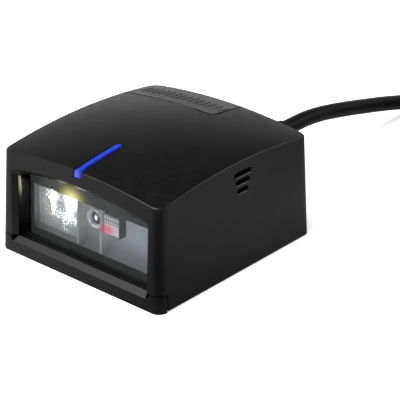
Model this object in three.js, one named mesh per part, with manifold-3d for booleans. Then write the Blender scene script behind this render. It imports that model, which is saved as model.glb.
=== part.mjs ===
// Compact fixed-mount area-imaging scanner with a plug-in cable, in millimetres.
// +Z is up, the scan window faces -Y, and the origin is the centre of the base's underside.
import * as THREE from 'three';
import { mergeVertices } from 'three/addons/utils/BufferGeometryUtils.js';
import Module from 'manifold-3d';

const wasm = await Module();
wasm.setup();

// ---- Driving dimensions ----

// Housing: a drafted box with a roof that is crowned both ways.
const WIDTH = 45.9; // at the base, along X
const DEPTH = 49; // at the base, along Y
const CORNER_HEIGHT = 22.3; // wall height at the front corners
const SIDE_CROWN = 1.9; // rise of the roof from the side walls to the middle
const FRONT_CROWN = 2.12; // rise of the roof from the front and back walls to the middle
const BACK_RISE = 0.585; // the back wall's extra height
const DRAFT_ANGLE = THREE.MathUtils.degToRad(2.29);
const DRAFT = Math.tan(DRAFT_ANGLE);
const CORNER_RADIUS = 2.1; // upright corners
const EDGE_FILLET = 0.35; // between the roof and the walls
const WALL = 1.5;
const ROOF = 2;
const SHELL_FOOT = 0.25; // how far the shell's walls stay above the surface it stands on
const GAP = 0.3; // assembly gap between neighbouring pieces

// Base cover
const FLOOR = 1.8;
const LIP_TOP = 3.7; // top of the base cover's lip at the front corners
const LIP_BACK = -22.15; // the lip wraps round the corners as far as this
const LIP_THICKNESS = 1.35;
const SILL_FRONT = 2.65; // sill height at the front face
const SILL_TOP = 3.75;
const SILL_RUN = 1.15; // how far back the sloping sill runs
const SILL_HALF = 19.35;

// Window: heights are measured up the drafted front wall.
const OPENING_HALF = 18.4;
const OPENING_CREST = 20.05;
const BEVEL = 1.05;
const ARCH_RADIUS = 99;
const PANE_DEPTH = 4.05; // from the front wall to the pane
const PANE_THICKNESS = 0.8;

// Boards and connector
const BOARD_BOTTOM = 3.4;
const BOARD_TOP = 4.4;
const PLUG_HEIGHT = 11.75; // height of the plug's and the cable's axis
const PLUG_BACK = 21.5;
const RELIEF_END = 43;
const LATCH_PIVOT = { y: 11.6, z: 7.85 };

// Fastener places
const SHELL_SCREWS = [[-18.2, -11], [18.2, -11], [-18.2, 19], [18.2, 19]];
const BOARD_SCREWS = [[-13, 17.5], [13, 17.5]];
const ENGINE_SCREWS = [[-12.5, -7.2], [12.5, -7.2]];
const INSERTS = { left: -12, right: 12 };
const INSERT_Y = -11.5;

// Cable
const CABLE_RADIUS = 1.85;
const COIL_CENTRE = { x: 30.5, y: 101 };
const COIL_RADIUS = 20.6; // at the middle of the turns
const COIL_BOTTOM = 1;
const COIL_HEIGHT = 15;
const COIL_HALF_WIDTH = 5.6;
const USB_X = 59;
const USB_BACK = 74.6;

// ---- Solids ----

function solid(geometry) {
  const bare = geometry.clone();
  for (const name of Object.keys(bare.attributes)) {
    if (name !== 'position') bare.deleteAttribute(name);
  }
  const merged = mergeVertices(bare, 1e-4);
  return new wasm.Manifold(new wasm.Mesh({
    numProp: 3,
    vertProperties: new Float32Array(merged.attributes.position.array),
    triVerts: new Uint32Array(merged.index.array),
  }));
}

function geometryOf(body) {
  const mesh = body.getMesh();
  const geometry = new THREE.BufferGeometry();
  geometry.setAttribute('position', new THREE.BufferAttribute(mesh.vertProperties, 3));
  geometry.setIndex(new THREE.BufferAttribute(mesh.triVerts, 1));
  geometry.computeVertexNormals();
  return geometry;
}

function join(first, ...others) {
  return others.reduce((whole, other) => whole.add(other), first);
}

function cut(body, ...tools) {
  return tools.reduce((left, tool) => left.subtract(tool), body);
}

function box(x0, x1, y0, y1, z0, z1) {
  const geometry = new THREE.BoxGeometry(x1 - x0, y1 - y0, z1 - z0);
  return solid(geometry.translate((x0 + x1) / 2, (y0 + y1) / 2, (z0 + z1) / 2));
}

// A round post standing along Z.
function post(x, y, radius, z0, z1, sides = 20) {
  const geometry = new THREE.CylinderGeometry(radius, radius, z1 - z0, sides);
  return solid(geometry.rotateX(Math.PI / 2).translate(x, y, (z0 + z1) / 2));
}

// A round bar lying along Y.
function bar(x, z, radius, y0, y1, sides = 24) {
  const geometry = new THREE.CylinderGeometry(radius, radius, y1 - y0, sides);
  return solid(geometry.translate(x, (y0 + y1) / 2, z));
}

function signedVolume(points, index) {
  let volume = 0;
  for (let i = 0; i < index.length; i += 3) {
    const [a, b, c] = [points[index[i]], points[index[i + 1]], points[index[i + 2]]];
    volume += a.dot(b.clone().cross(c));
  }
  return volume;
}

// Joins rings of equal length into one closed body, with a fan over each end.
function loft(rings, crest = null) {
  const count = rings[0].length;
  const middle = (ring) => ring.reduce((sum, p) => sum.add(p), new THREE.Vector3()).divideScalar(count);
  const points = rings.flat();
  const index = [];
  for (let j = 0; j + 1 < rings.length; j += 1) {
    for (let i = 0; i < count; i += 1) {
      const next = (i + 1) % count;
      const [a, b] = [j * count + i, j * count + next];
      index.push(a, b, b + count, a, b + count, a + count);
    }
  }
  const last = (rings.length - 1) * count;
  points.push(middle(rings[0]), crest ?? middle(rings[rings.length - 1]));
  const [start, end] = [points.length - 2, points.length - 1];
  for (let i = 0; i < count; i += 1) {
    const next = (i + 1) % count;
    index.push(start, next, i, end, last + i, last + next);
  }
  if (signedVolume(points, index) < 0) index.reverse();
  const geometry = new THREE.BufferGeometry().setFromPoints(points);
  geometry.setIndex(index);
  return solid(geometry);
}

// An outline of points in a plane, extruded to the given length.
function extrude(outline, length) {
  const shape = new THREE.Shape(outline.map(([a, b]) => new THREE.Vector2(a, b)));
  return new THREE.ExtrudeGeometry(shape, { depth: length, bevelEnabled: false });
}

// An outline of (y, z) points run along X.
function along(x0, x1, outline) {
  const [x, y, z] = [new THREE.Vector3(1, 0, 0), new THREE.Vector3(0, 1, 0), new THREE.Vector3(0, 0, 1)];
  const turned = extrude(outline, x1 - x0).applyMatrix4(new THREE.Matrix4().makeBasis(y, z, x));
  return solid(turned.translate(x0, 0, 0));
}

// An outline of (x, y) points run along Z.
function upright(z0, z1, outline) {
  return solid(extrude(outline, z1 - z0).translate(0, 0, z0));
}

// Points round a rounded rectangle, with extra points along its straight sides.
function roundedOutline(halfX, halfY, radius, cornerSteps, sideSteps) {
  const outline = [];
  for (let corner = 0; corner < 4; corner += 1) {
    const [sx, sy] = [[1, 1], [-1, 1], [-1, -1], [1, -1]][corner];
    for (let i = 0; i <= cornerSteps; i += 1) {
      const angle = (corner + i / cornerSteps) * (Math.PI / 2);
      outline.push([
        sx * (halfX - radius) + radius * Math.cos(angle),
        sy * (halfY - radius) + radius * Math.sin(angle),
      ]);
    }
    const from = outline[outline.length - 1];
    const upwards = corner % 2 === 1;
    const to = upwards
      ? [from[0], -from[1]]
      : [-from[0], from[1]];
    for (let i = 1; i < sideSteps; i += 1) {
      const t = i / sideSteps;
      outline.push([from[0] + (to[0] - from[0]) * t, from[1] + (to[1] - from[1]) * t]);
    }
  }
  return outline;
}

// ---- Housing shape ----

function roofHeight(x, y) {
  const across = 1 - (2 * x / WIDTH) ** 2;
  const lengthways = 1 - (2 * y / DEPTH) ** 2;
  return CORNER_HEIGHT + SIDE_CROWN * across + FRONT_CROWN * lengthways + BACK_RISE * (y / DEPTH + 0.5);
}

function wallOutline(inset, height) {
  const reach = inset + DRAFT * height;
  const radius = Math.max(CORNER_RADIUS - inset, 0.5);
  return roundedOutline(WIDTH / 2 - reach, DEPTH / 2 - reach, radius, 5, 8);
}

// The housing's outer form, made smaller by inset on the walls and by roofInset on the roof.
function housing(inset, roofInset, foot) {
  const flat = wallOutline(inset, CORNER_HEIGHT);
  const roofEdge = (stepIn, drop) => flat.map(([x, y], i) => {
    const height = roofHeight(x, y) - roofInset;
    const [wx, wy] = wallOutline(inset + stepIn, height)[i];
    return new THREE.Vector3(wx, wy, height - drop);
  });
  const rings = [wallOutline(inset, foot).map(([x, y]) => new THREE.Vector3(x, y, foot))];
  for (const turn of [0, 30, 60, 90]) {
    const angle = THREE.MathUtils.degToRad(turn);
    rings.push(roofEdge(EDGE_FILLET * (1 - Math.cos(angle)), EDGE_FILLET * (1 - Math.sin(angle))));
  }
  const rim = rings[rings.length - 1];
  for (const share of [0.85, 0.68, 0.5, 0.32, 0.15]) {
    rings.push(rim.map(({ x, y }) => (
      new THREE.Vector3(x * share, y * share, roofHeight(x * share, y * share) - roofInset)
    )));
  }
  return loft(rings, new THREE.Vector3(0, 0, roofHeight(0, 0) - roofInset));
}

const outerForm = housing(0, 0, 0);

// The outermost layer of the roof, out to the walls.
function roofLayer(thickness) {
  return cut(outerForm, housing(-2, thickness, -1));
}

// ---- Window shape ----

// A point given by its place across, its depth behind the front wall and its height up the wall.
function facePoint(x, depth, height) {
  const [sin, cos] = [Math.sin(DRAFT_ANGLE), Math.cos(DRAFT_ANGLE)];
  return new THREE.Vector3(x, -DEPTH / 2 + depth * cos + height * sin, height * cos - depth * sin);
}

// Flat-bottomed outline with a shallow arch and rounded shoulders.
function archRing(half, bottom, crest, radius, depth) {
  const archHeight = (x) => crest - x * x / (2 * ARCH_RADIUS);
  const inner = half - radius;
  const shoulder = new THREE.QuadraticBezierCurve(
    new THREE.Vector2(half, archHeight(half) - radius),
    new THREE.Vector2(half, archHeight(half)),
    new THREE.Vector2(inner, archHeight(inner)),
  ).getPoints(5).map(({ x, y }) => [x, y]);
  const arch = [0.75, 0.5, 0.25].map((share) => [inner * share, archHeight(inner * share)]);
  const rightHalf = [[half, bottom], ...shoulder, ...arch];
  const leftHalf = rightHalf.map(([x, z]) => [-x, z]).reverse();
  return [...rightHalf, [0, crest], ...leftHalf].map(([x, z]) => facePoint(x, depth, z));
}

function archSlab(half, bottom, crest, radius, depth0, depth1) {
  return loft([depth0, depth1].map((depth) => archRing(half, bottom, crest, radius, depth)));
}

// A straight-sided slab parallel to the front wall.
function faceSlab(x0, x1, z0, z1, depth0, depth1) {
  return loft([depth0, depth1].map((depth) => (
    [[x0, z0], [x1, z0], [x1, z1], [x0, z1]].map(([x, z]) => facePoint(x, depth, z))
  )));
}

// ---- Materials ----

function material(color, roughness, metalness = 0) {
  return new THREE.MeshStandardMaterial({ color, roughness, metalness });
}

const HOUSING_PLASTIC = material(0x242423, 0.55);
const GLOSS_BLACK = material(0x080808, 0.15);
const RUBBER = material(0x141414, 0.7);
const CABLE_JACKET = material(0x161616, 0.5);
const CLEAR = material(0xdfe6ea, 0.05);
const BLUE_LIGHT = material(0x2f4be6, 0.3);
const WHITE_LIGHT = material(0xfff4d8, 0.3);
const RED_LIGHT = material(0xe0305a, 0.3);
const GREY_PLASTIC = material(0x8b8d92, 0.6);
const CIRCUIT_GREEN = material(0x17492c, 0.5);
const CHIP_BLACK = material(0x1b1b1d, 0.5);
const STEEL = material(0x9b9da0, 0.35, 1);
const BRASS = material(0xb8924a, 0.35, 1);
const AMBER_FILM = material(0xa8641e, 0.5);
const LABEL_WHITE = material(0xd8d8d4, 0.6);
const SENSOR_SILICON = material(0x2a3550, 0.2);

const scanner = new THREE.Group();

function subpart(name, body, look) {
  const mesh = new THREE.Mesh(geometryOf(body), look);
  mesh.name = name;
  scanner.add(mesh);
}

// ---- Top shell and what sits flush in it ----

const PIPE_HALF = 0.8;
const PIPE_TIP = -10.8;
const PIPE_LOW = 22.95;
const PIPE_THICKNESS = 1.6;
const PIPE_CLEARANCE = 0.2;
const PIPE_FRONT_BACK = -22.9; // how far back its turned-down front end reaches
const PIPE_LEG = { half: 0.6, front: -12.3, back: -11.2, low: 17.8 }; // leads down to the status lamp
const BADGE_RIGHT = 4;
const BADGE_FRONT = 13.3;
const BADGE_CORNER = 1.2;
const BADGE_THICKNESS = 0.7;
const ABOVE = 40; // a height above the whole scanner

// Plan of the light pipe: straight sides and a pointed rear end.
function pipePlan(grow) {
  const half = PIPE_HALF + grow;
  return [
    [-half, -DEPTH / 2 - 1], [half, -DEPTH / 2 - 1],
    [half, PIPE_TIP - 1.6], [half * 0.6, PIPE_TIP - 0.5], [0, PIPE_TIP + grow],
    [-half * 0.6, PIPE_TIP - 0.5], [-half, PIPE_TIP - 1.6],
  ];
}

// Plan of the badge plate: it runs out over the left and back edges, with one rounded inner corner.
function badgePlan(grow) {
  const [right, front, radius] = [BADGE_RIGHT + grow, BADGE_FRONT - grow, BADGE_CORNER];
  const corner = [0, 22.5, 45, 67.5, 90].map((turn) => {
    const angle = THREE.MathUtils.degToRad(turn);
    return [right - radius + radius * Math.sin(angle), front + radius - radius * Math.cos(angle)];
  });
  return [[-WIDTH, front], ...corner, [right, DEPTH], [-WIDTH, DEPTH]];
}

// Three slots in the right-hand wall, the upper ones longer: each is [y0, y1, z].
const VENT_SLOTS = [[-0.8, 4.5, 22], [-0.45, 3.9, 20.2], [0, 3.4, 18.3]];
const VENT_HALF_HEIGHT = 0.48;
const CABLE_PORT = { half: 6.45, low: 6.7, high: 15.6 };
const BOSS = { radius: 2.3, pilot: 1.05, low: 2.1, top: 14, ribHalf: 0.6, ribReach: 21.8 };

function topShell() {
  const cavity = housing(WALL, ROOF, -1);
  const frontRelief = box(-WIDTH, WIDTH, -DEPTH, LIP_BACK + GAP, -1, LIP_TOP + 0.25);
  const belowFoot = box(-WIDTH, WIDTH, -DEPTH, DEPTH, -1, SHELL_FOOT);
  const flare = (depth) => [OPENING_HALF + BEVEL - depth, OPENING_CREST + BEVEL - depth];
  const opening = loft([-1, BEVEL, 4].map((depth) => {
    const [half, crest] = flare(Math.min(depth, BEVEL));
    return archRing(half, 2, crest, 1.3, depth);
  }));
  const pipeSlot = upright(PIPE_LOW - PIPE_CLEARANCE, ABOVE, pipePlan(PIPE_CLEARANCE));
  const badgeSeat = roofLayer(BADGE_THICKNESS + GAP).intersect(upright(10, ABOVE, badgePlan(0.25)));
  const vents = VENT_SLOTS.map(([y0, y1, z]) => (
    box(18, 26, y0, y1, z - VENT_HALF_HEIGHT, z + VENT_HALF_HEIGHT)
  ));
  const cablePort = box(-CABLE_PORT.half, CABLE_PORT.half, 20, 30, CABLE_PORT.low, CABLE_PORT.high);
  const bosses = SHELL_SCREWS.flatMap(([x, y]) => {
    const [x0, x1] = x > 0 ? [x, BOSS.ribReach] : [-BOSS.ribReach, x];
    const rib = box(x0, x1, y - BOSS.ribHalf, y + BOSS.ribHalf, BOSS.low, BOSS.top);
    return [post(x, y, BOSS.radius, BOSS.low, BOSS.top), rib];
  });
  const pilots = SHELL_SCREWS.map(([x, y]) => post(x, y, BOSS.pilot, 1, 10, 12));
  const walls = cut(outerForm, cavity, frontRelief, belowFoot, opening);
  const shell = join(walls, ...bosses);
  return cut(shell, pipeSlot, badgeSeat, ...vents, cablePort, ...pilots);
}

function statusLightPipe() {
  const frontBand = outerForm.intersect(box(-5, 5, -DEPTH, PIPE_FRONT_BACK, PIPE_LOW, ABOVE));
  const strip = join(roofLayer(PIPE_THICKNESS), frontBand).intersect(upright(PIPE_LOW, ABOVE, pipePlan(0)));
  const leg = box(-PIPE_LEG.half, PIPE_LEG.half, PIPE_LEG.front, PIPE_LEG.back, PIPE_LEG.low, 25);
  return join(strip, leg);
}

const BADGE_RIBS = { first: -19.6, pitch: 1.7, count: 14, width: 0.8, y0: 16, y1: 19.4, height: 0.25 };

function badgePlate() {
  const raised = cut(housing(0, -BADGE_RIBS.height, 10), housing(-2, 0.35, -1));
  const plate = roofLayer(BADGE_THICKNESS).intersect(upright(10, ABOVE, badgePlan(0)));
  const ribs = Array.from({ length: BADGE_RIBS.count }, (_, i) => {
    const x = BADGE_RIBS.first + i * BADGE_RIBS.pitch;
    return raised.intersect(box(x, x + BADGE_RIBS.width, BADGE_RIBS.y0, BADGE_RIBS.y1, 10, ABOVE));
  });
  return join(plate, ...ribs);
}

subpart('top_shell', topShell(), HOUSING_PLASTIC);
subpart('status_light_pipe', statusLightPipe(), BLUE_LIGHT);
subpart('badge_plate', badgePlate(), HOUSING_PLASTIC);
subpart('vent_mesh', box(19.9, 20.2, -1.8, 5.4, 17, 22.5), RUBBER);

// ---- Base cover ----

const RELEASE_HOLE_Y = 19.3; // under the latch's free end
const INSERT_HOLE = 2.25;
const INSERT_BORE = 1.25;
const LABEL_RECESS = { x: 9, y0: -4.5, y1: 8.5, depth: 0.35 };
const LABEL_THICKNESS = 0.1;
const BEHIND_SILL = 8; // well behind the lip

function baseCover() {
  const low = box(-30, 30, -30, 30, -1, FLOOR);
  const floor = join(housing(WALL + GAP, 0, 0), box(-20.8, 20.8, -23.6, -20, 0.4, 3)).intersect(low);
  const lip = outerForm.intersect(box(-30, 30, -30, LIP_BACK, -1, LIP_TOP));
  const lipHollow = box(-20.3, 20.3, LIP_THICKNESS - DEPTH / 2 + 0.1, -20, 1.2, 10);
  const slot = [
    [-2, SILL_FRONT], [0, SILL_FRONT], [SILL_RUN, SILL_TOP],
    [BEHIND_SILL, SILL_TOP], [BEHIND_SILL, 12], [-2, 12],
  ].map(([depth, height]) => facePoint(0, depth, height)).map(({ y, z }) => [y, z]);
  const sillCut = along(-SILL_HALF, SILL_HALF, slot);
  const notches = [-1, 1].map((side) => loft([-2, BEHIND_SILL].map((depth) => (
    [[SILL_HALF - 0.4, SILL_FRONT + 0.05], [SILL_HALF + 0.15, SILL_FRONT + 0.05], [20.4, 5], [18, 5]]
      .map(([x, z]) => facePoint(side * x, depth, z))
  ))));
  const posts = [
    ...BOARD_SCREWS.map(([x, y]) => post(x, y, 1.9, 1, BOARD_BOTTOM - 0.3)),
    ...ENGINE_SCREWS.map(([x, y]) => post(x, y, 1.7, 1, 4.6)),
    ...Object.values(INSERTS).map((x) => post(x, INSERT_Y, 3.1, 1, 3.7)),
  ];
  const holes = [
    ...SHELL_SCREWS.flatMap(([x, y]) => [post(x, y, 2, -1, 1.1), post(x, y, 1.15, -1, 3)]),
    ...BOARD_SCREWS.map(([x, y]) => post(x, y, 1.05, 0.8, 5, 12)),
    ...ENGINE_SCREWS.map(([x, y]) => post(x, y, 0.95, 0.8, 5, 12)),
    ...Object.values(INSERTS).map((x) => post(x, INSERT_Y, INSERT_HOLE, -1, 3.3)),
    post(0, RELEASE_HOLE_Y, 1.2, -1, 3),
    box(-LABEL_RECESS.x, LABEL_RECESS.x, LABEL_RECESS.y0, LABEL_RECESS.y1, -1, LABEL_RECESS.depth),
  ];
  const rim = cut(lip, lipHollow, sillCut, ...notches);
  return cut(join(floor, rim, ...posts), ...holes);
}

subpart('base_cover', baseCover(), HOUSING_PLASTIC);

function baseLabel() {
  const half = LABEL_RECESS.x - GAP;
  return box(-half, half, LABEL_RECESS.y0 + GAP, LABEL_RECESS.y1 - GAP, 0.05, 0.05 + LABEL_THICKNESS);
}

subpart('base_label', baseLabel(), LABEL_WHITE);

function insert(x) {
  const sleeve = post(x, INSERT_Y, INSERT_HOLE - 0.2, 0.1, 3.1, 24);
  return cut(sleeve, post(x, INSERT_Y, INSERT_BORE, -1, 5, 16));
}

for (const [side, x] of Object.entries(INSERTS)) {
  subpart(`mount_insert_${side}`, insert(x), BRASS);
}

// A screw whose head is at headZ and whose shank runs to tipZ, with a cross recess in the head.
function screw([x, y], headRadius, shankRadius, headZ, headHeight, tipZ) {
  const upwards = Math.sign(tipZ - headZ);
  const [z0, z1] = [headZ, headZ + upwards * headHeight].sort((a, b) => a - b);
  const head = post(x, y, headRadius, z0, z1);
  const [s0, s1] = [headZ + upwards * headHeight * 0.5, tipZ].sort((a, b) => a - b);
  const shank = post(x, y, shankRadius, s0, s1, 12);
  const [arm, slot, depth] = [headRadius * 0.6, headRadius * 0.13, headHeight * 0.45];
  const [r0, r1] = [headZ - upwards, headZ + upwards * depth].sort((a, b) => a - b);
  const recess = [
    box(x - arm, x + arm, y - slot, y + slot, r0, r1),
    box(x - slot, x + slot, y - arm, y + arm, r0, r1),
  ];
  return cut(join(head, shank), ...recess);
}

SHELL_SCREWS.forEach((place, i) => (
  subpart(`base_screw_${i + 1}`, screw(place, 1.7, 0.85, 0.1, 0.8, 8.5), STEEL)));
BOARD_SCREWS.forEach((place, i) => (
  subpart(`board_screw_${i + 1}`, screw(place, 1.6, 0.8, 5.5, 0.8, 1.2), STEEL)));
ENGINE_SCREWS.forEach((place, i) => (
  subpart(`engine_screw_${i + 1}`, screw(place, 1.3, 0.7, 7, 0.8, 1.2), STEEL)));

// ---- Window ----

const BEZEL = { half: 19.9, low: 2.15, crest: 21.4, radius: 1.6, front: 1.8, back: 5.35 };
const BEZEL_MOUTH = { half: 18.35, crest: 19.95, radius: 1.2 };
const BEZEL_LEDGES = [[3.35, 2.6], [3.65, 3.2], [3.95, 4]]; // each is [height, the depth it reaches]
const PANE = { half: 18.75, low: 3.6, crest: 20.35, radius: 1.2 };
const GASKET_DEPTH = 5.1;
const APERTURE = { half: 18.1, low: 4.7, high: 14.9 };

function windowBezel() {
  const frame = archSlab(BEZEL.half, BEZEL.low, BEZEL.crest, BEZEL.radius, BEZEL.front, BEZEL.back);
  const steps = BEZEL_LEDGES.map(([height, depth]) => (
    archSlab(BEZEL_MOUTH.half, height, BEZEL_MOUTH.crest, BEZEL_MOUTH.radius, 1, depth)
  ));
  const seat = archSlab(
    PANE.half + GAP, PANE.low - GAP, PANE.crest + GAP, PANE.radius + GAP, PANE_DEPTH - GAP, BEZEL.back + 1,
  );
  return cut(frame, ...steps, seat);
}

// A sheet of the pane's outline.
function paneSlab(depth0, depth1) {
  return archSlab(PANE.half, PANE.low, PANE.crest, PANE.radius, depth0, depth1);
}

function windowGasket() {
  const { half, low, high } = APERTURE;
  return cut(paneSlab(GASKET_DEPTH, BEZEL.back), faceSlab(-half, half, low, high, GASKET_DEPTH - 1, 7));
}

subpart('window_bezel', windowBezel(), GLOSS_BLACK);
subpart('window_pane', paneSlab(PANE_DEPTH, PANE_DEPTH + PANE_THICKNESS), CLEAR);
subpart('window_gasket', windowGasket(), RUBBER);

// ---- Scan engine ----

// Three light-tight chambers side by side: illumination, camera and aimer.
const CHAMBERS = [[-APERTURE.half, -5.7], [-5.25, 0.85], [1.3, APERTURE.half]];
const CHAMBER_LOW = 4;
const CHAMBER_HIGH = 16;
const SHROUD_DEPTH = 5.7;
const SHROUD_BACK = 8.3;
const SHROUD_WALL = 0.5;
const ENGINE_FRONT = -15.3;
const ENGINE_BACK = -9.6;
const ENGINE_LOW = 4.9;
const ENGINE_HIGH = 16.4;
const FLANGE = { half: 18.3, back: -14.3, low: 4 };
const BLOCK_HALF = 14.5;
const FOOT = { half: 1.8, front: -9.8, back: -5.6, top: 5.9 };
const SCREW_PILOT = 0.95;
const CAMERA = { x: -2.3, z: 10.5, radius: 2.15, front: -16.7, back: -11.2 };
const LENS = { radius: 1.35, bulge: 0.22, half: 0.14, y: -16 };
const SENSOR = { halfX: 1.9, halfZ: 1.5, front: -10.4, back: -9.5 };
const DIFFUSER = { left: -17.5, right: -6, low: 5.2, high: 15.3, front: -17.9, back: -17 };
const LIGHTS = { places: [-9.7, -15], z: 12, half: 1.5, front: -16.4, back: -15.6 };
const AIMER = { left: 1.6, right: 6, low: 8.9, high: 13.6, front: -18, back: -15.6, wall: 0.4 };
const STATUS_LED = { half: 0.8, front: -12.4, back: -11, low: 16.7, high: 17.4 };

function lightShroud() {
  const half = APERTURE.half + SHROUD_WALL;
  const [low, high] = [CHAMBER_LOW - SHROUD_WALL, CHAMBER_HIGH + SHROUD_WALL];
  const chambers = CHAMBERS.map(([x0, x1]) => (
    faceSlab(x0, x1, CHAMBER_LOW, CHAMBER_HIGH, SHROUD_DEPTH - 1, SHROUD_BACK + 1)
  ));
  return cut(faceSlab(-half, half, low, high, SHROUD_DEPTH, SHROUD_BACK), ...chambers);
}

function engineChassis() {
  const flange = box(-FLANGE.half, FLANGE.half, ENGINE_FRONT, FLANGE.back, FLANGE.low, ENGINE_HIGH);
  const block = box(-BLOCK_HALF, BLOCK_HALF, FLANGE.back - 0.2, ENGINE_BACK, ENGINE_LOW, ENGINE_HIGH);
  const feet = ENGINE_SCREWS.map(([x]) => (
    box(x - FOOT.half, x + FOOT.half, FOOT.front, FOOT.back, ENGINE_LOW, FOOT.top)
  ));
  const cameraBore = bar(CAMERA.x, CAMERA.z, CAMERA.radius + GAP, -17, -11);
  const sensorPocket = box(
    CAMERA.x - SENSOR.halfX - 0.7, CAMERA.x + SENSOR.halfX + 0.7, CAMERA.back, -9,
    CAMERA.z - SENSOR.halfZ - 0.7, CAMERA.z + SENSOR.halfZ + 0.7,
  );
  const screwHoles = ENGINE_SCREWS.map(([x, y]) => post(x, y, SCREW_PILOT, 4, 7, 12));
  return cut(join(flange, block, ...feet), cameraBore, sensorPocket, ...screwHoles);
}

function imageSensor() {
  const { halfX, halfZ, front, back } = SENSOR;
  return box(CAMERA.x - halfX, CAMERA.x + halfX, front, back, CAMERA.z - halfZ, CAMERA.z + halfZ);
}

function cameraBarrel() {
  const { x, z, radius, front, back } = CAMERA;
  const lensSeat = bar(x, z, LENS.radius + 0.25, front - 1, LENS.y + 0.5);
  const lightPath = bar(x, z, 0.9, front - 1, back + 0.2);
  return cut(bar(x, z, radius, front, back, 32), lensSeat, lightPath);
}

// A biconvex lens, turned about the camera's axis.
function cameraLens() {
  const face = (sign) => [1, 0.75, 0.5, 0.25, 0].map((share) => (
    new THREE.Vector2(LENS.radius * share, sign * (LENS.half + LENS.bulge * (1 - share * share)))
  ));
  const profile = [...face(-1).reverse(), ...face(1)];
  return solid(new THREE.LatheGeometry(profile, 24).translate(CAMERA.x, LENS.y, CAMERA.z));
}

function illuminationLens() {
  const { left, right, front, back, low, high } = DIFFUSER;
  return box(left, right, front, back, low, high);
}

function illuminationLed(x) {
  const { z, half, front, back } = LIGHTS;
  return box(x - half, x + half, front, back, z - half, z + half);
}

function aimerHousing() {
  const { left, right, low, high, front, back, wall } = AIMER;
  const hollow = box(left + wall, right - wall, front - 1, back - 0.8, low + wall, high - wall);
  return cut(box(left, right, front, back, low, high), hollow);
}

function aimerLens() {
  const { left, right, low, high, front, wall } = AIMER;
  const inset = wall + 0.25;
  return box(left + inset, right - inset, front, front + 0.4, low + inset, high - inset);
}

function statusLed() {
  const { half, front, back, low, high } = STATUS_LED;
  return box(-half, half, front, back, low, high);
}

subpart('light_shroud', lightShroud(), GREY_PLASTIC);
subpart('engine_chassis', engineChassis(), GREY_PLASTIC);
subpart('sensor_board', box(-10.2, 10.2, -9.2, -8.4, ENGINE_LOW, ENGINE_HIGH), CIRCUIT_GREEN);
subpart('image_sensor', imageSensor(), SENSOR_SILICON);
subpart('camera_barrel', cameraBarrel(), GLOSS_BLACK);
subpart('camera_lens', cameraLens(), CLEAR);
subpart('illumination_lens', illuminationLens(), CLEAR);
LIGHTS.places.forEach((x, i) => subpart(`illumination_led_${i + 1}`, illuminationLed(x), WHITE_LIGHT));
subpart('aimer_housing', aimerHousing(), GREY_PLASTIC);
subpart('aimer_led', box(2.4, 4, -17.2, -16.7, 9.7, 11.3), RED_LIGHT);
subpart('aimer_lens', aimerLens(), CLEAR);
subpart('status_led', statusLed(), BLUE_LIGHT);

// A flat flex that drops behind the sensor board and turns forward to the main board.
function engineFlex() {
  const [drop, level, bend, half] = [-7.9, 5.35, 1.6, 0.12];
  const offset = (side) => [
    [drop + side, 11],
    ...[0, 22.5, 45, 67.5, 90].map((turn) => {
      const angle = THREE.MathUtils.degToRad(turn);
      const radius = bend - side;
      return [drop + bend - radius * Math.cos(angle), level + bend - radius * Math.sin(angle)];
    }),
    [-4.8, level + side],
  ];
  return along(-3.6, 3.6, [...offset(half), ...offset(-half).reverse()]);
}

subpart('engine_flex', engineFlex(), AMBER_FILM);

// ---- Main board ----

const BOARD = { half: 15.5, front: -5, back: 21.3 };
const BUZZER = { x: 11, y: 2.2, radius: 4.2, top: 8.4, port: 0.9, portDepth: 0.8 };

function mainBoard() {
  const holes = BOARD_SCREWS.map(([x, y]) => post(x, y, 1.1, BOARD_BOTTOM - 1, BOARD_TOP + 1, 12));
  const releaseHole = post(0, RELEASE_HOLE_Y, 1.6, BOARD_BOTTOM - 1, BOARD_TOP + 1, 16);
  const sheet = box(-BOARD.half, BOARD.half, BOARD.front, BOARD.back, BOARD_BOTTOM, BOARD_TOP);
  return cut(sheet, ...holes, releaseHole);
}

// A component on the board, given by its middle, its sides and its height.
function onBoard(x, y, sideX, sideY, height) {
  const low = BOARD_TOP + GAP;
  return box(x - sideX / 2, x + sideX / 2, y - sideY / 2, y + sideY / 2, low, low + height);
}

function buzzer() {
  const { x, y, radius, top, port, portDepth } = BUZZER;
  const can = post(x, y, radius, BOARD_TOP + GAP, top, 32);
  return cut(can, post(x, y, port, top - portDepth, top + 1, 12));
}

subpart('main_board', mainBoard(), CIRCUIT_GREEN);
subpart('flex_connector', onBoard(0, -3.2, 8.4, 2.4, 1.2), LABEL_WHITE);
subpart('decoder_chip', onBoard(-8.5, 3.2, 8, 8, 0.9), CHIP_BLACK);
subpart('memory_chip', onBoard(-11.1, 12.7, 4.6, 4.6, 0.8), CHIP_BLACK);
subpart('board_crystal', onBoard(0, 3.35, 3.2, 1.7, 0.8), STEEL);
subpart('buzzer', buzzer(), CHIP_BLACK);

// ---- Cable connector ----

const PLUG_HALF_WIDTH = 5.85;
const PLUG_HALF_HEIGHT = 3.1;
const PLUG_FRONT = 10;
const PLUG_CLEARANCE = 0.35;
const PLUG_CONTACTS = { count: 8, first: -4.3, pitch: 1.16, width: 0.5, back: 14, depth: 1.1 };
const SOCKET = { half: 7.2, front: 8, back: 22, top: 16.6, mouthFront: 9.4 };
const LATCH_WAY = { half: 3.4, low: 6 };
const LATCH_HALF_WIDTH = 2.9;

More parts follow.
